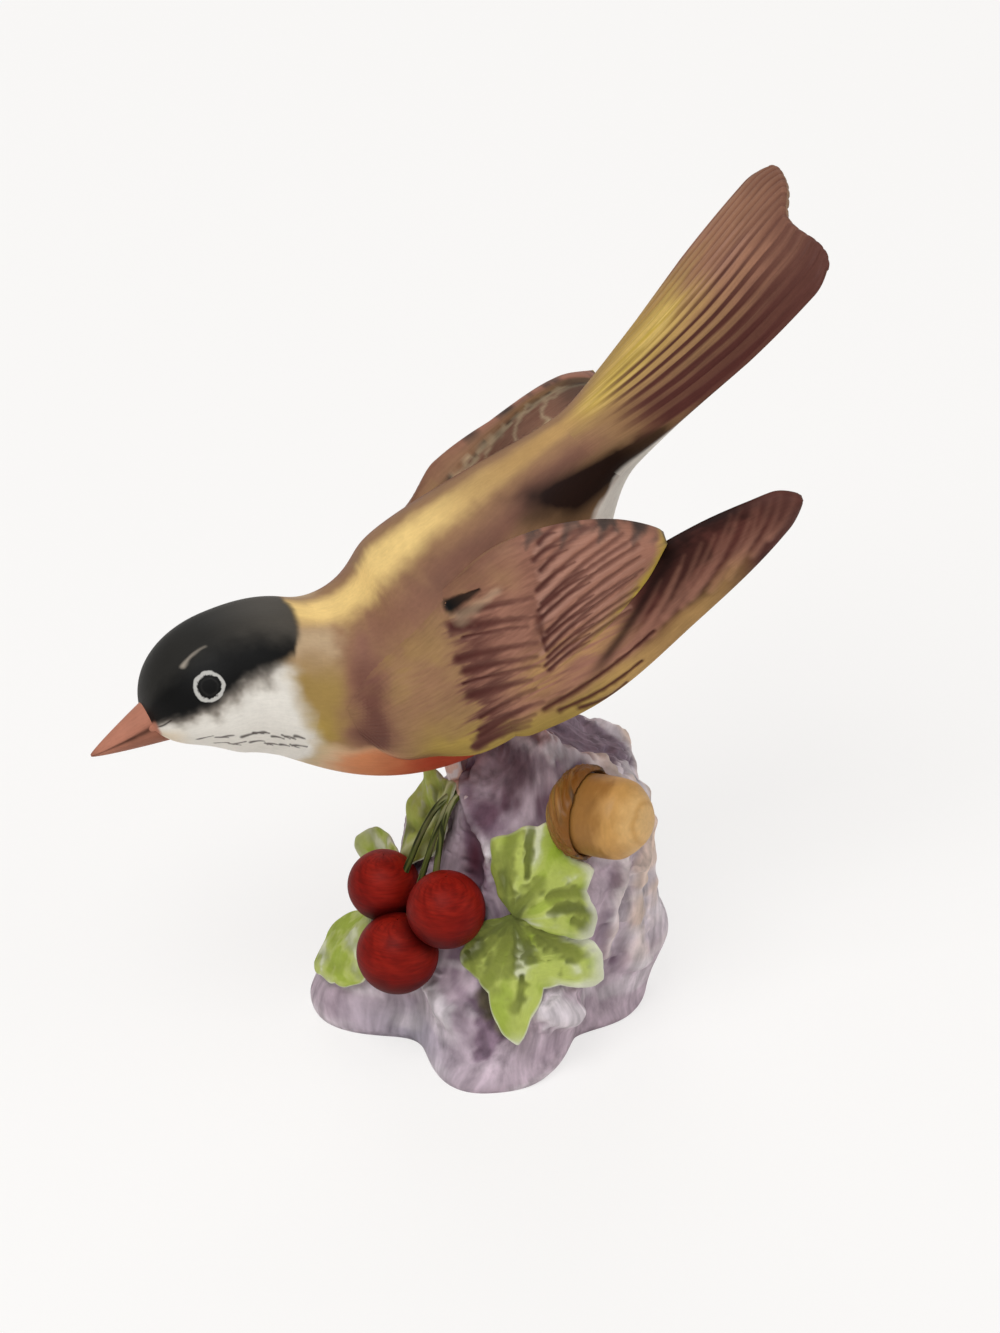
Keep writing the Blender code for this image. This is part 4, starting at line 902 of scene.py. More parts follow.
def wingPatch(side, flight):
    begin = wing["flightStart"] if flight else 0.0
    share = np.linspace(begin, 1, wing["rows"])[:, None]
    far = side > 0  # the right wing stands a little higher behind the tail
    if flight:
        length, blunt, lines = wing["long"], 0.05, ("leading", "flightHigh")
        hidden, raised = until(share, begin, begin + 0.12), between(share, (0.45, 0.62), (0.78, 0.95))
    else:
        length, blunt, lines = wing["covert"] + wing["farCovert"] * far, 0.10, ("covertLow", "covertHigh")
        hidden, raised = 0, fade(share, 0.66, 0.95)
    low, high = (wing["chord"] * through(wing[line], share) for line in lines)
    low, high = low + 2.5 * hidden, high + far * wing["farRise"] * raised
    middle, half = (low + high) / 2, (high - low) / 2
    half = half * np.sqrt(np.maximum(1 - np.clip((share - 1 + blunt) / blunt, 0, 1) ** 2, 4e-4))
    low, high = middle - half, middle + half
    outer = np.linspace(0, 1, wing["across"])[None]
    inner = np.linspace(1, 0, wing["under"] + 2)[None, 1:-1]
    across = np.concatenate((outer, inner), 1)
    along, chord = share * length + 0 * across, lerp(low, high, across)
    face, back = np.s_[:, :wing["across"]], np.s_[:, wing["across"]:]
    if flight:
        crown = wing["thin"] * lerp(1.4, 0.7, share) * arch(outer, 0.6) - wing["edge"] - 2 * hidden
        sink = wing["sink"] * until(share, 0.35, 0.60)
    else:
        crown = shoulderCrown(share, outer, along[face], chord[face], high - low, length)
        sink = wing["sink"] * until(share, 0.45, 0.80)
    under = -wing["edge"] - (0.4 * wing["thin"] + sink) * arch(inner, 0.4)
    out = np.concatenate((crown, under), 1)
    bareShare, bareTurn, _ = onBody(wingPlace(-1, along, chord, out))
    paint, furrow = wingPaint(along, chord, low, high, coat(bareShare, bareTurn), flight)
    paint[back] = innerPaint(along, chord, high)[back]
    out[face] -= furrow[face] * arch(outer, 0.3)
    return closedEnds(wingPlace(side, along, chord, out) + np.array(bird["place"]), paint)


def makeWings():
    look = {"hairs": (36, 340), "hair": 0.42, "washScale": 280.0, "wash": 0.4, "rough": 0.55, "furrow": 0.8}
    material = bisque("wingPaint", look)
    for name, side, node in (("leftWing", -1, "left_wing"), ("rightWing", 1, "right_wing")):
        addPiece(name, [wingPatch(side, False), wingPatch(side, True)], material, "wing_paint", node)


makeWings()

# stump: radius by angle and height, with four root lobes, and bark that flows down over it
stump = {
    "high": 45.2, "foot": 17.0, "waist": 15.7, "crown": 8.8, "lean": 7.6, "back": 4.5, "dome": 14.51,
    "roots": 4, "lobe": 4.6, "valley": (1.5, 1.5), "shoulder": 8.5, "rootHigh": 17.99, "turn": -104,
    "flute": 0.6, "bevel": 0.42, "bevelTurn": 140, "bevelHigh": (0.45, 0.75),
    "girth": 14, "wallRows": 160, "domeRows": 70, "sides": 420,
    # strokes of bark: start and end (degrees round the stump, height), widths, rise
    "folds": (((-120, 43.0), (-78, 41.4), (2.2, 2.4), 1.0), ((-78, 41.4), (-50, 38.0), (2.4, 2.6), 1.7),
              ((-50, 38.0), (-26, 31.0), (2.6, 2.6), 0.8), ((-26, 31.0), (-24, 14.0), (2.6, 3.2), 0.9),
              ((-151, 38.0), (-127, 31.0), (1.2, 1.6), 1.0), ((-127, 31.0), (-128, 24.0), (1.4, 1.2), 0.7),
              ((-61, 28.0), (-52, 12.0), (1.7, 2.0), 1.1), ((-44, 27.0), (-38, 9.0), (1.8, 2.2), 1.2),
              ((-143, 10.0), (-132, 8.0), (2.6, 2.4), 2.0), ((-93, 10.5), (-82, 8.5), (2.8, 2.6), 2.0),
              ((20, 36.0), (35, 12.0), (2.6, 3.0), 1.2), ((75, 37.0), (80, 14.0), (2.6, 3.0), 1.0),
              ((128, 30.0), (118, 10.0), (2.4, 3.0), 1.0)),
    "hollows": (((-177, 38.0), (-186, 28.0), (7.0, 6.0), -3.0), ((-42, 43.0), (8, 39.0), (8.0, 8.0), -2.6),
                ((-139, 31.0), (-134, 26.0), (3.2, 2.4), -1.1),
                ((-118, 11.8), (-108, 7.4), (2.0, 1.3), -1.5), ((-113, 14.0), (-113, 5.0), (2.4, 1.6), -1.4),
                ((-68, 34.0), (-48, 31.0), (2.4, 2.4), -0.7), ((-53, 25.0), (-46, 10.0), (1.2, 1.4), -0.5)),
}


def stumpCentre(height):
    share = np.clip(height / stump["high"], 0, 1)
    return stump["lean"] * np.sin(share * np.pi / 2) - stump["back"] * share**4


def stumpRadius(angle, height):
    share = np.clip(height / stump["high"], 0, 1)
    end = np.where(share < 0.5, stump["foot"], stump["crown"])
    trunk = lerp(stump["waist"], end, (1 - 2 * share) ** 2)
    valley = (1 - np.cos(stump["roots"] * (angle - math.radians(stump["turn"])))) / 2
    lobe = stump["lobe"] * (1 - stump["valley"][0] * valley ** stump["valley"][1])
    lobe = lobe * until(height, stump["shoulder"], stump["rootHigh"])
    flute = stump["flute"] * (np.sin(5 * angle + 9 * share) + np.sin(3 * angle - 11 * share))
    rise = np.maximum((height - stump["high"] + stump["dome"]) / stump["dome"], 0)
    bevel = stump["bevel"] * fade(share, *stump["bevelHigh"])
    bevel = bevel * np.maximum(np.cos(angle - math.radians(stump["bevelTurn"])), 0) ** 2
    return (trunk + lobe + flute) * (1 - bevel) * np.sqrt(np.maximum(1 - rise**2, 0.01))


def barkPoint(angle, height):
    radius = stumpRadius(angle, height)
    x = stumpCentre(height) + radius * np.cos(angle)
    return np.stack((x, radius * np.sin(angle), height + 0 * radius), -1)


def barkOff(angle, height, out):
    # point that stands off the bark, square to it
    around = barkPoint(angle + 1e-3, height) - barkPoint(angle - 1e-3, height)
    upward = barkPoint(angle, height + 0.045) - barkPoint(angle, height - 0.045)
    square = np.cross(around, upward)
    square = square / np.linalg.norm(square, axis=-1, keepdims=True)
    return barkPoint(angle, height) + np.asarray(out)[..., None] * square


def barkStrokes(start, colour):
    # swirled brush strokes: noise drawn out along the height, in a frame bent by broad noise
    place = start.node("ShaderNodeTexCoord", "Object", {})
    swirl = {0: start.noise(place, 75.0, 1.0, "Color"), 1: (0.011, 0.011, 0.011), 2: place}
    bent = start.node("ShaderNodeVectorMath", "Vector", swirl, operation="MULTIPLY_ADD")
    drawn = start.node("ShaderNodeMapping", "Vector", {"Vector": bent, "Scale": (640, 640, 140)})
    return start.lit(colour, (start.noise(drawn, 1.0, 3.0) - 0.5) * 1.7 + 1.04)


def makeStump():
    wallHigh = stump["high"] - stump["dome"]
    bend = np.linspace(0, np.pi / 2, stump["domeRows"] + 1)[1:]
    levels = (np.linspace(0, wallHigh, stump["wallRows"]), wallHigh + stump["dome"] * np.sin(bend))
    height, angle = crossed(np.concatenate(levels), circle(stump["sides"], -np.pi))
    cells, degrees = angle / (2 * np.pi), np.degrees(angle)

    def toward(turn):
        return np.cos(angle - math.radians(turn))

    def stroke(start, end, widths, *rest):
        ends = [(math.radians(spot) * stump["girth"], high) for spot, high in (start, end)]
        return brush(angle * stump["girth"], height, *ends, widths, 0.0, *rest)

    twist = 0.06 * mottle(cells * 6, height / 9, 51, 6)
    ridge = 1 - np.abs(2 * cloud((cells + twist) * 22, height / 11, 54, 22) - 1) * 2.2
    knob = mottle(cells * 11, height / 4.5, 57, 11)
    rough = fade(height, 7, 16) * (0.30 + 0.70 * fade(toward(-15), 0.2, 0.8))
    relief = rough * (0.45 * ridge + 1.6 * knob) + 0.3 * knob
    fold = np.zeros(angle.shape)
    for number, (start, end, widths, rise) in enumerate(stump["folds"] + stump["hollows"]):
        fold = fold + rise * stroke(start, end, widths, number)
    sole = 1.2 * (1 - np.sqrt(1 - (1 - np.clip(height / 1.6, 0, 1)) ** 2))
    out = (relief + fold) * between(height, (0.2, 3), (43, 45)) - sole
    points = barkOff(angle, height, out)
    points[..., 2] = np.maximum(points[..., 2], 0) * fade(height, 0, 0.4)
    flow = mottle((cells + 1.6 * twist) * 24, height / 5, 61, 24)
    dab = mottle(cells * 16, height / 3.2, 64, 16)
    # the side of the stump that is painted lighter
    right = fade(toward(-12), 0.55, 0.95) * fade(height, 8, 15)
    front = fade(height, 30, 34) * fade(toward(-112), 0.50, 0.92)
    # painted shadow under the bird, on the front of the stump's top
    shadeUnderBird = fade(height + 14 * flow, 34.0, 38.5) * bump(degrees, -114, 28)
    paint = lay(
        coated("lilac", angle),
        ("mist", 0.8 * until(height + 6 * dab, 3, 9) * bump(degrees, -149, 22)),
        ("purple", 0.7 * fade(flow, 0.0, 0.22) * (0.3 + 0.7 * fade(height, 6, 16))),
        # painted highlight: pale ash on the raised folds, broken by dabs
        ("ash", 0.75 * fade(fold + 0.9 * dab, 0.35, 1.3)),
        ("ash", 0.5 * fade(dab + 0.4 * knob, 0.02, 0.25)),
        # painted light: the right side of the stump paler, with peach on its knobs as painted highlight
        ("ash", 0.6 * right),
        ("peach", 0.8 * right * fade(knob + 0.25 * fold, -0.02, 0.35)),
        # painted shade: darker purple in the hollows, mixed with purple streaks
        ("purple", 0.75 * fade(-fold + 0.8 * flow, 0.2, 0.8)),
        ("purple", 0.5 * front * fade(flow + 0.3 * dab, -0.15, 0.20)),
        # painted shadow under the bird in wine, lighter on the raised folds
        ("wine", 0.75 * shadeUnderBird * (1 - 0.7 * fade(fold, 0.4, 1.3))),
        # painted shade: a wine spot in the cleft beside the berry stalks
        ("wine", 0.95 * bump(degrees, -138, 8) * bump(height, 28.5, 5)),
        # painted shadow: dark olive in the hollow under the lower leaf's edge
        ("darkOlive", 0.85 * stroke((-118, 11.8), (-108, 7.4), (1.5, 0.7), 9, 0.4)),
    )
    look = {"hairs": (150, 150), "hair": 0.15, "washScale": 300.0, "wash": 0.3, "rough": 0.6, "furrow": 1.0}
    material = bisque("barkPaint", look, barkStrokes)
    addPiece("stumpBark", [closedEnds(points, paint)], material, "bark_paint", "stump_base")


makeStump()

# leaves: blades laid on the bark, by the polar outline of each about its middle
leafShape = {
    "heart": (-113, 23.4),  # dark middle between the two big leaves, from which their strokes start
    "girth": 16.5, "rows": 70, "sides": 260,
}
# outline: degrees, reach; strokes: start, end, width; reach: gain, degrees, where it begins
leaves = {
    "leafUpper": {
        "node": "leaf_upper", "at": (-104, 27.7), "girth": 15.9, "curl": 0.5, "pillow": 0.9, "lift": 0.9,
        "outline": ((-152, 4.5), (-126, 4.4), (-104, 4.6), (-85, 5.3), (-67, 7.4), (-52, 11.4), (-41, 10.2),
                    (-30, 7.2), (-21, 6.2), (4, 7.0), (22, 5.6), (39, 5.0), (69, 6.6), (90, 6.1), (106, 6.3),
                    (128, 7.0), (141, 7.9), (154, 6.6), (177, 5.3)),
        "strokes": (((-0.4, 0.2), (-2.0, 6.0), 1.5), ((-1.0, 0.8), (-4.0, 9.0), 1.5),
                    ((-0.6, 3.0), (-1.2, 9.4), 1.1), ((0.6, 0.6), (2.6, 4.0), 0.9),
                    ((4.0, 2.6), (9.0, 1.6), 1.3), ((4.6, 1.2), (9.6, -1.6), 1.2),
                    ((6.4, -1.0), (9.6, -4.2), 0.9), ((1.2, 5.0), (1.6, 9.8), 0.7)),
        "bright": ((5.6, 8.2), 2.6)},
    "leafLower": {
        "node": "leaf_lower", "at": (-107.5, 18.2), "girth": 16.4, "curl": 0.9, "pillow": 0.8,
        "reach": (0.16, -34, 6.5),
        "outline": ((-169, 7.3), (-151, 6.9), (-130, 6.0), (-112, 6.6), (-95, 8.8), (-82, 11.4), (-74, 8.6),
                    (-58, 6.2), (-46, 7.4), (-38, 10.8), (-33, 11.6), (-26, 10.8), (-15, 10.4), (-4, 8.8),
                    (15, 5.4), (60, 5.2), (105, 5.8), (134, 5.9), (160, 6.2)),
        "strokes": (((-0.3, -0.6), (-5.8, -5.0), 1.5), ((-0.2, -0.8), (-4.2, -7.4), 1.3),
                    ((0.0, -0.8), (-1.6, -10.6), 1.4), ((0.2, -0.8), (0.6, -8.6), 1.0),
                    ((0.4, -0.6), (2.8, -6.4), 0.9), ((3.0, -2.4), (8.0, -7.0), 1.3),
                    ((2.0, -1.2), (8.6, -4.6), 1.2), ((-0.8, 0.2), (-4.2, -1.6), 1.0),
                    ((-4.6, -6.4), (-3.0, -9.4), 0.7), ((2.4, -9.0), (2.2, -12.6), 0.7)),
        "bright": ((2.0, -2.6), 1.6)},
    "leafSprig": {
        "node": "leaf_sprig", "at": (-168, 29.8), "girth": 13.0, "curl": 0.6, "pillow": 0.5,
        "reach": (0.38, 150, 2.0), "vein": 65, "rib": 0.35,
        "outline": ((-174, 4.8), (-150, 5.0), (-125, 5.9), (-108, 7.0), (-90, 5.0), (-75, 3.9), (-30, 2.9),
                    (10, 3.2), (35, 4.6), (51, 6.8), (60, 8.8), (70, 7.6), (85, 6.3), (120, 5.6),
                    (160, 4.9))},
    "leafBack": {
        "node": "leaf_back", "at": (-186.5, 20.2), "girth": 15.6, "curl": 0.8, "pillow": 0.6,
        "reach": (0.60, 180, 2.6), "vein": 150, "pale": 0.7,
        "outline": ((-172, 7.0), (-150, 6.0), (-120, 4.2), (-80, 4.4), (-40, 4.6), (0, 4.4), (40, 3.8),
                    (80, 3.6), (120, 4.0), (160, 5.8), (178, 7.2))},
    "leafRoot": {
        "node": "leaf_root", "at": (-186, 9.2), "girth": 19.8, "curl": 0.5, "pillow": 0.6,
        "vein": 20, "pale": 0.6,
        "outline": ((-165, 5.2), (-132, 5.4), (-104, 3.8), (-60, 3.4), (-15, 4.6), (20, 5.6), (60, 4.2),
                    (86, 4.2), (120, 4.8), (160, 5.2))},
}


def leafPatch(leaf, number):
    rows, turn = leafShape["rows"], circle(leafShape["sides"], -np.pi)
    inner = np.linspace(0.02, 1, rows)
    share, turn = crossed(np.concatenate((inner, inner[::-1])), turn)
    top = np.arange(2 * rows)[:, None] < rows
    edge = np.interp(np.degrees(turn), *np.transpose(leaf["outline"]), period=360)
    edge = edge * (1 + 0.02 * np.sin(11 * turn + number))
    across, upward = share * edge * np.cos(turn), share * edge * np.sin(turn)
    x = across + math.radians(leaf["at"][0] - leafShape["heart"][0]) * leafShape["girth"]
    y = upward + leaf["at"][1] - leafShape["heart"][1]
    heart = np.hypot(x, y)
    dab = mottle(across * 0.6 + 20, upward * 0.6 + 20, 71 + number)
    marks = bright = np.zeros(share.shape)
    if "strokes" in leaf:
        spot, wide = leaf["bright"]
        bright = bump(np.hypot(x - spot[0], y - spot[1]), 0, wide)
        spokes = mottle(4 * x / (heart + 0.5) + 20, 4 * y / (heart + 0.5) + heart / 9 + 20, 75 + number)
        dab = 0.4 * dab + 0.8 * spokes
        for index, (start, end, width) in enumerate(leaf["strokes"]):
            widths = (0.9 * width, 1.45 * width)
            mark = brush(x, y, start, end, widths, 0.25, index + number, 0.2, 0.8, 1.2)
            marks = np.maximum(marks, mark)
    else:
        vein = math.radians(leaf["vein"])
        fromRib = across * math.sin(vein) - upward * math.cos(vein)
        onRib = across * math.cos(vein) + upward * math.sin(vein)
        sides = bump(np.abs(fromRib), 1.3 + 0.5 * np.cos(1.5 * onRib), 0.7)
        marks = 0.75 * sides * (1 - leaf.get("pale", 0))
    rim = share**5
    gain, way, begin = leaf.get("reach", (0, 0, 0))
    far = np.maximum(share * edge - begin, 0) * fade(np.cos(turn - math.radians(way)), 0.2, 0.9)
    lift = leaf["curl"] * share**2 * (0.6 + 0.4 * np.cos(5 * turn + number)) + gain * far**1.3
    lift = lift + leaf.get("lift", 0) * fade(-upward, 1.5, 5) * share**2
    dome = np.sqrt(np.maximum(1 - rim, 0))
    pillow = leaf["pillow"] * dome + (0.5 * dab - 0.45 * marks) * (1 - rim)
    out = 1.0 + lift + np.where(top, pillow, -0.7 * dome)
    angle = math.radians(leaf["at"][0]) + across / leaf["girth"]
    points = barkOff(angle, leaf["at"][1] + upward, out)
    paint = lay(
        coated("lime", share),
        ("sage", 0.65 * fade(dab, 0.0, 0.2)),
        ("grass", 0.5 * fade(-dab, 0.05, 0.22)),
        ("grass", 0.7 * bright),
        ("sage", leaf.get("pale", 0) * fade(dab, -0.2, 0.2)),
        ("milk", 0.5 * fade(dab, 0.10, 0.26)),
        ("fern", 0.95 * marks),
        ("moss", 0.7 * marks * fade(dab, -0.10, 0.12)),
    )
    if "rib" in leaf:
        paint = lay(
            paint,
            ("fern", 0.75 * fade(dab + 0.2 * np.sign(fromRib), -0.1, 0.15)),
            ("sage", 0.85 * bump(fromRib, 0, leaf["rib"])),
        )
    if "strokes" in leaf:
        rim = rim * fade(heart, 3, 6)
        paint = lay(
            paint,
            ("moss", 0.9 * bump(heart, 0, 1.9)),
            # painted light: the big leaves paler towards their right edges
            ("milk", 0.7 * fade(x + 2 * dab, 4, 9) * fade(share + 0.25 * dab, 0.70, 0.95)),
            ("milk", 0.8 * fade(-y + 2 * dab, 14.0, 17.0)),
        )
    pale = fade(rim + 0.3 * dab, 0.72, 0.95) * (0.3 + 0.7 * fade(np.cos(turn + 0.6), -0.3, 0.6))
    return closedEnds(points, lay(paint, ("milk", 0.7 * pale), ("milk", np.where(top, 0, 0.5))))


def makeLeaves():
    look = {"hairs": (220, 120), "hair": 0.22, "washScale": 420.0, "wash": 0.35, "rough": 0.55}
    material = bisque("leafPaint", look)
    for number, (name, leaf) in enumerate(leaves.items()):
        addPiece(name, [leafPatch(leaf, number)], material, "leaf_paint", leaf["node"])


makeLeaves()

# berries: balls stuck to the bark on three stalks that start together
berries = {
    "berryRight": {"node": "berry_right", "at": (-137, 22.78), "wide": 9.98},
    "berryFront": {"node": "berry_front", "at": (-155, 15.41), "wide": 10.4},
    "berryLeft": {"node": "berry_left", "at": (-173, 21.2), "wide": 9.2},
}
stalks = {
    "at": (-149, 36.6), "root": 1.2, "clear": 3.3, "thick": 0.95, "gather": -153, "rows": 60, "sides": 28,
}


def berryMiddle(berry):
    return barkOff(math.radians(berry["at"][0]), berry["at"][1], berry["wide"] / 2 - 0.8)


def makeBerries():
    look = {"hairs": (330, 60), "hair": 1.0, "washScale": 260.0, "wash": 0.45, "rough": 0.52, "furrow": 0.8}
    material = bisque("berryPaint", look)
    polar, turn = crossed(np.linspace(0.02, np.pi - 0.02, 90), circle(150))
    east, north, up = np.cos(turn), np.sin(turn), np.cos(polar)
    for number, (name, berry) in enumerate(berries.items()):
        dent = mottle(east * 1.5 + 9, polar * 2 + north + 5, 81 + number)
        radius = berry["wide"] / 2 * (1 + 0.012 * dent)
        ball = np.stack((np.sin(polar) * east, np.sin(polar) * north, up), -1)
        points = berryMiddle(berry) + radius[..., None] * ball
        flare = mottle(east * 2 + 9 + polar, polar * 2 + 2 * north + 9, 84 + number)
        streaks = grain(polar * 1.2 + 3 * np.cos(turn + number), polar * 9 + 9 * north, 87 + number)
        light = fade(up + 0.9 * flare - 0.35 * north * np.sin(polar), -0.1, 0.9)
        paint = lay(
            coated("crimson", turn),
            # painted light: brick on the top of each berry, and garnet on its underside as painted shade
            ("brick", light * (0.5 + 0.4 * fade(streaks, 0.3, 0.8))),
            ("garnet", 0.8 * fade(-up + 0.8 * flare, 0.1, 0.8)),
            ("garnet", 0.25 * fade(-streaks, -0.35, -0.1)),
        )
        for other in berries.values():
            if other is not berry:
                near = np.linalg.norm(points - berryMiddle(other), axis=-1) - other["wide"] / 2
                # painted shade: garnet where a berry meets the others
                paint = lay(paint, ("garnet", 0.85 * until(near, 0.2, 2.2)))
        addPiece(name, [(points, paint)], material, "berry_paint", berry["node"])


def makeStalks():
    angle, height, clear = math.radians(stalks["at"][0]), stalks["at"][1], stalks["clear"]
    root = barkOff(angle, height, -stalks["root"])
    joint = (berryMiddle(berries["berryLeft"]) + berryMiddle(berries["berryRight"])) / 2
    line = np.linspace(0, 1, stalks["rows"])
    radii = stalks["thick"] / 2 * (1 - 0.15 * np.sin(np.pi * line))
    share, turn = crossed(line, circle(stalks["sides"]))
    patches = []
    for number, berry in enumerate(berries.values()):
        aim = lerp(math.radians(berry["at"][0]), math.radians(stalks["gather"]), 0.55)
        high = lerp(height, berry["at"][1] + berry["wide"] / 2, 0.6)
        knots = (root, barkOff(lerp(angle, aim, 0.3), height, clear), barkOff(aim, high, clear),
                 lerp(berryMiddle(berry), joint, 0.45))
        streak = grain(share * 9, turn * 2, 91 + number)
        paint = lay(
            coated("moss", share),
            ("darkOlive", 0.7 * fade(streak, 0.5, 0.8)),
            ("sage", 0.7 * until(share, 0.2, 0.5) * fade(streak, 0.3, 0.6)),
            ("soot", 0.8 * until(streak, 0.25, 0.55) * fade(share, 0.15, 0.4)),
        )
        patches.append(closedEnds(tube(bezier(knots, line), radii, stalks["sides"]), paint))
    look = {"hairs": (40, 700), "hair": 0.5, "washScale": 700.0, "wash": 0.4, "rough": 0.58}
    addPiece("berryStalks", patches, bisque("stalkPaint", look), "stem_paint", "berry_stems")


makeBerries()
makeStalks()

# acorn: nut and cup turned about one axis
acorn = {
    "at": (-89, 35.48), "swing": 40, "tilt": 8, "sink": 1.5, "cup": 12.0, "cupDeep": 4.096, "floor": 3.5,
    "lip": 0.9, "wall": 0.75, "inside": 2.0, "nut": 10.4, "nutLong": 9.6, "rows": 110, "sides": 180,
    # the nut from its blunt tip: share, radius, drop; then where the cup's bowl, lip and inside start and end
    "profile": ((0, 0.02, 0.0), (0.14, 0.30, 0.012), (0.28, 0.50, 0.05), (0.42, 0.66, 0.12),
                (0.56, 0.83, 0.22), (0.70, 0.965, 0.34), (0.80, 1.0, 0.48), (0.90, 1.0, 0.72),
                (1, 0.97, 0.96)),
    "parts": ((0, 0.70), (0.70, 0.85), (0.85, 1)),
}


def makeAcorn():
    angle = math.radians(acorn["at"][0])
    foot = barkOff(angle, acorn["at"][1], -acorn["sink"])
    aim = angle + math.radians(acorn["swing"])
    axis = Vector((math.cos(aim), math.sin(aim), math.tan(math.radians(acorn["tilt"])))).normalized()
    frameTurn = np.array(Vector((0, 0, 1)).rotation_difference(axis).to_matrix())
    share, turn = crossed(np.linspace(0, 1, acorn["rows"]), circle(acorn["sides"]))

    def turned(radius, height):
        return foot + np.stack((radius * np.cos(turn), radius * np.sin(turn), height), -1) @ frameTurn.T

    # nut
    places, radii, drops = np.transpose(acorn["profile"])
    facet = 1 + 0.012 * np.sin(3 * turn + 1.1) + 0.010 * np.sin(5 * turn + 3 * share)
    radius = acorn["nut"] / 2 * through(np.transpose((places, radii)), share) * facet
    drop = acorn["nutLong"] * through(np.transpose((places, drops)), share)
    height = acorn["floor"] + acorn["nutLong"] - drop
    wood = mottle(turn * 2, height * 0.8 + 9, 101)
    paint = lay(
        coated("amber", share),
        ("honey", 0.9 * until(share + 0.25 * wood, 0.34, 0.66)),
        ("amber", 0.7 * bump(share + 0.1 * wood, 0.30, 0.06)),
        ("chestnut", 0.65 * fade(share + 0.2 * wood, 0.70, 0.86)),
    )
    look = {"hairs": (160, 90), "hair": 0.3, "washScale": 320.0, "wash": 0.4, "rough": 0.45, "gloss": 0.25}
    nut = closedEnds(turned(radius, height), paint)
    addPiece("acornNut", [nut], bisque("nutPaint", look), "nut_paint", "acorn_nut")

    # cup: a bowl to the lip, over the lip, and a short way inside
    bowl, lip, inside = (np.clip((share - start) / (end - start), 0, 1) for start, end in acorn["parts"])
    radius = acorn["cup"] / 2 * np.sin(bowl * np.pi / 2) ** 0.7
    radius = radius - acorn["wall"] * (1 - np.cos(lip * np.pi)) / 2
    height = acorn["cupDeep"] * (1 - np.cos(bowl * np.pi / 2)) + acorn["lip"] * np.sin(lip * np.pi)
    height = height - acorn["inside"] * inside
    warts = mottle(np.cos(turn) * 5 + 20, np.sin(turn) * 5 + share * 16 + 20, 107)
    radius = radius + 0.7 * warts * until(share, 0.68, 0.80)
    height = height + 0.5 * warts * bump(share, 0.72, 0.1)
    paint = lay(
        coated("chestnut", share),
        ("amber", 0.35 * fade(warts, -0.05, 0.25)),
        ("olive", 0.85 * until(share + 0.8 * warts, 0.30, 0.62)),
        ("chestnut", 0.8 * fade(-warts, 0.05, 0.2) * until(share, 0.5, 0.8)),
        ("umber", 0.75 * fade(warts, 0.02, 0.18) * bump(share, 0.76, 0.10)),
    )
    cup = closedEnds(turned(radius, height), paint)
    addPiece("acornCup", [cup], bisque("cupPaint", look), "cup_paint", "acorn_cup")


makeAcorn()

# legs: a short shank and three toes that grip the crown
legs = {
    "angle": 24, "ankle": 37.5, "thick": 2.1, "toe": 1.3, "toeLong": 2.4, "hip": (-1.5, 0.0, 7.0),
    "rows": 30, "sides": 30, "toeSides": 24, "slip": (35.6, 37.6),
}


def makeLegs():
    look = {"hairs": (80, 400), "hair": 0.3, "washScale": 700.0, "wash": 0.35, "rough": 0.56}
    material = bisque("legPaint", look)
    share = np.linspace(0, 1, legs["rows"])
    toeRadii = legs["toe"] / 2 * (1.05 - 0.5 * share**2) * (1 + 0.12 * np.cos(share * 18))
    for name, side, node in (("leftLeg", -1, "left_leg"), ("rightLeg", 1, "right_leg")):
        angle = math.pi - side * math.radians(legs["angle"])
        step = legs["toeLong"] / stumpRadius(angle, legs["ankle"])
        ankle = barkOff(angle, legs["ankle"], legs["toe"] / 2)
        shank = ankle + np.outer(1 - share, legs["hip"])
        grids = [tube(shank, np.full(legs["rows"], legs["thick"] / 2), legs["sides"])]
        for across in (-1.0, 0.0, 1.0):
            low = legs["ankle"] - legs["toeLong"] * (1 - 0.5 * abs(across)) * share
            path = barkOff(angle + across * share * step, low, legs["toe"] * (0.5 - 0.25 * share))
            grids.append(tube(path, toeRadii, legs["toeSides"]))
        patches = []
        for points in grids:
            x, z = points[..., 0], points[..., 2]
            paint = lay(
                coated("pink", x),
                ("ash", 0.7 * fade(grain(x * 1.4, z * 1.4, 121), 0.4, 0.7)),
                ("lilac", 0.8 * until(z, *legs["slip"])),
            )
            patches.append(closedEnds(points, paint))
        addPiece(name, patches, material, "leg_paint", node)


makeLegs()

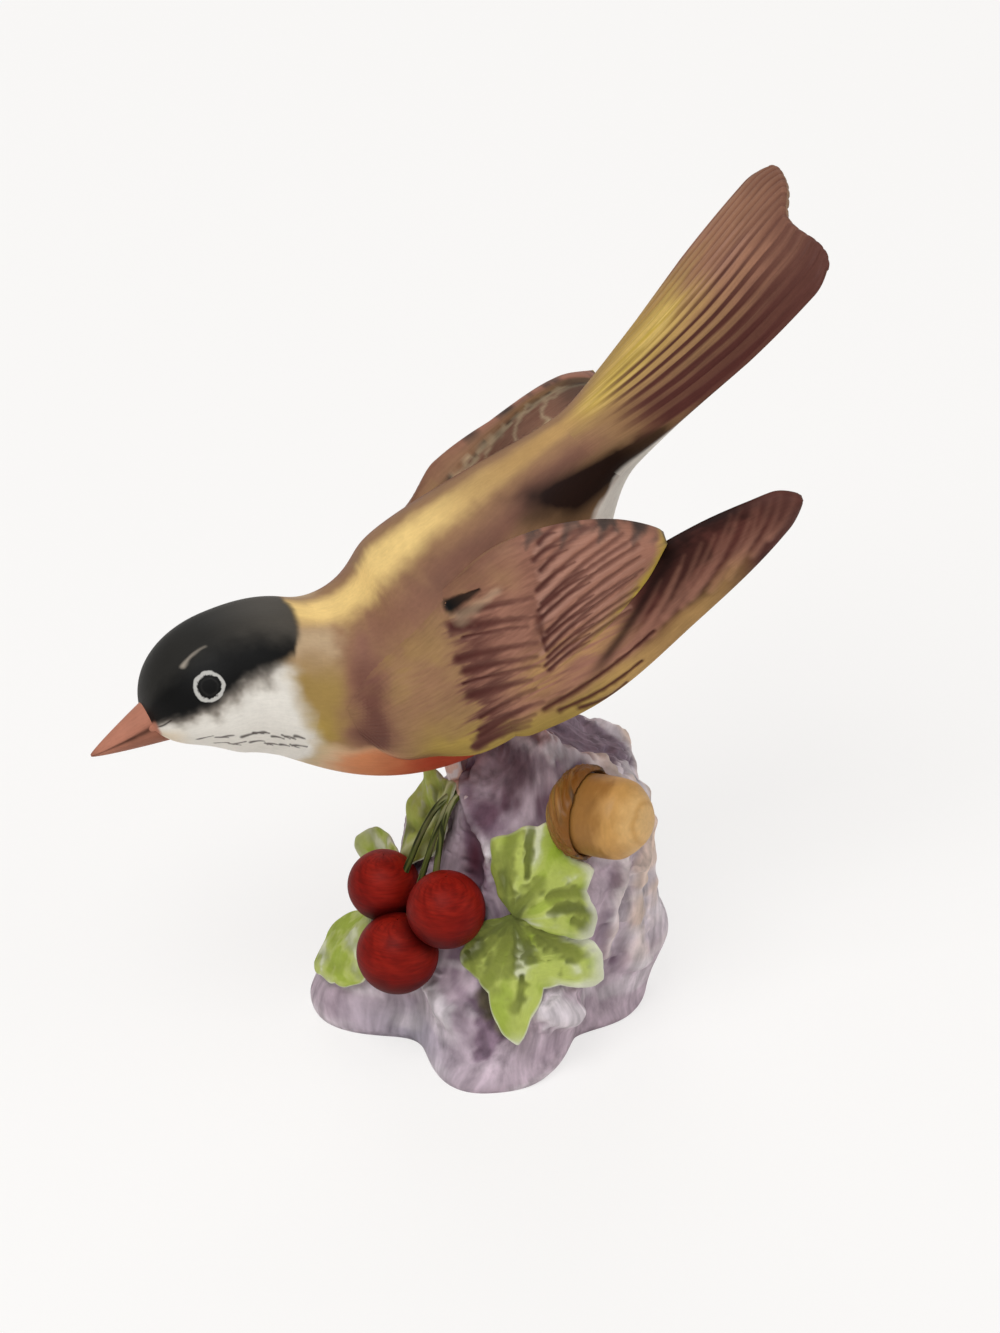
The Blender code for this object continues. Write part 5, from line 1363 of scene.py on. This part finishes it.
# stage: pale floor, soft light, and the camera of the photograph
stage = {
    "right": (0.9455, -0.3256, 0.0), "back": (-0.273, -0.793, 0.545), "across": 1.875, "up": 42.31,
    "away": 1500.0, "lens": 317.0, "aim": (0, 0, 0.05), "half": 4,
    "floor": (0.93, 0.915, 0.90), "bare": (1.0, 0.99, 0.98), "glow": 0.72,
    "sky": 0.36, "skyTone": (1.0, 0.985, 0.965),
    "lights": (("key", (-0.38, -0.42, 0.95), 0.6, 6.2), ("fill", (0.8, -0.5, 0.5), 0.7, 1.5),
               ("rim", (0.15, 0.75, 0.65), 0.6, 1.6)),
}


def makeFloor():
    half = stage["half"]
    corners = [(-half, -half, 0), (half, -half, 0), (half, half, 0), (-half, half, 0)]
    mesh = bpy.data.meshes.new("floor")
    mesh.from_pydata(corners, [], [(0, 1, 2, 3)])
    floor = newObject("floor", mesh)
    material, inputs, start = newMaterial("paleFloor")
    inputs["Base Color"].default_value = (*stage["floor"], 1)
    inputs["Roughness"].default_value = 0.8
    inputs["Specular IOR Level"].default_value = 0.1
    glow = start.node("ShaderNodeEmission", "Emission", {"Color": (*stage["bare"], 1), "Strength": 1.0})
    seen = start.node("ShaderNodeLightPath", "Is Camera Ray", {}) * stage["glow"]
    mixed = start.node("ShaderNodeMixShader", "Shader", {0: seen, 1: start, 2: glow})
    mixed.into(material.node_tree.nodes["Material Output"].inputs["Surface"])
    mesh.materials.append(material)


def makeStage():
    for name, place, size, power in stage["lights"]:
        light = bpy.data.lights.new(name, "AREA")
        light.shape, light.size, light.energy = "DISK", size, power
        lamp = newObject(name, light)
        lamp.location = place
        lamp.rotation_euler = (Vector(stage["aim"]) - Vector(place)).to_track_quat("-Z", "Y").to_euler()
    world = bpy.data.worlds.new("room")
    world.use_nodes = True
    sky = world.node_tree.nodes["Background"].inputs
    sky["Color"].default_value = (*stage["skyTone"], 1)
    sky["Strength"].default_value = stage["sky"]
    bpy.context.scene.world = world
    right, back = Vector(stage["right"]).normalized(), Vector(stage["back"]).normalized()
    up = back.cross(right)
    camera = bpy.data.cameras.new("camera")
    camera.lens, camera.sensor_width = stage["lens"], 36.0
    camera.clip_start, camera.clip_end = 0.1, 20.0
    eye = newObject("camera", camera)
    spot = right * stage["across"] + up * stage["up"] + back * stage["away"]
    eye.matrix_world = Matrix.Translation(spot / 1000) @ Matrix((right, up, back)).transposed().to_4x4()
    bpy.context.scene.camera = eye
    bpy.context.scene.view_settings.view_transform = "Standard"
    print("stage set")


makeFloor()
makeStage()
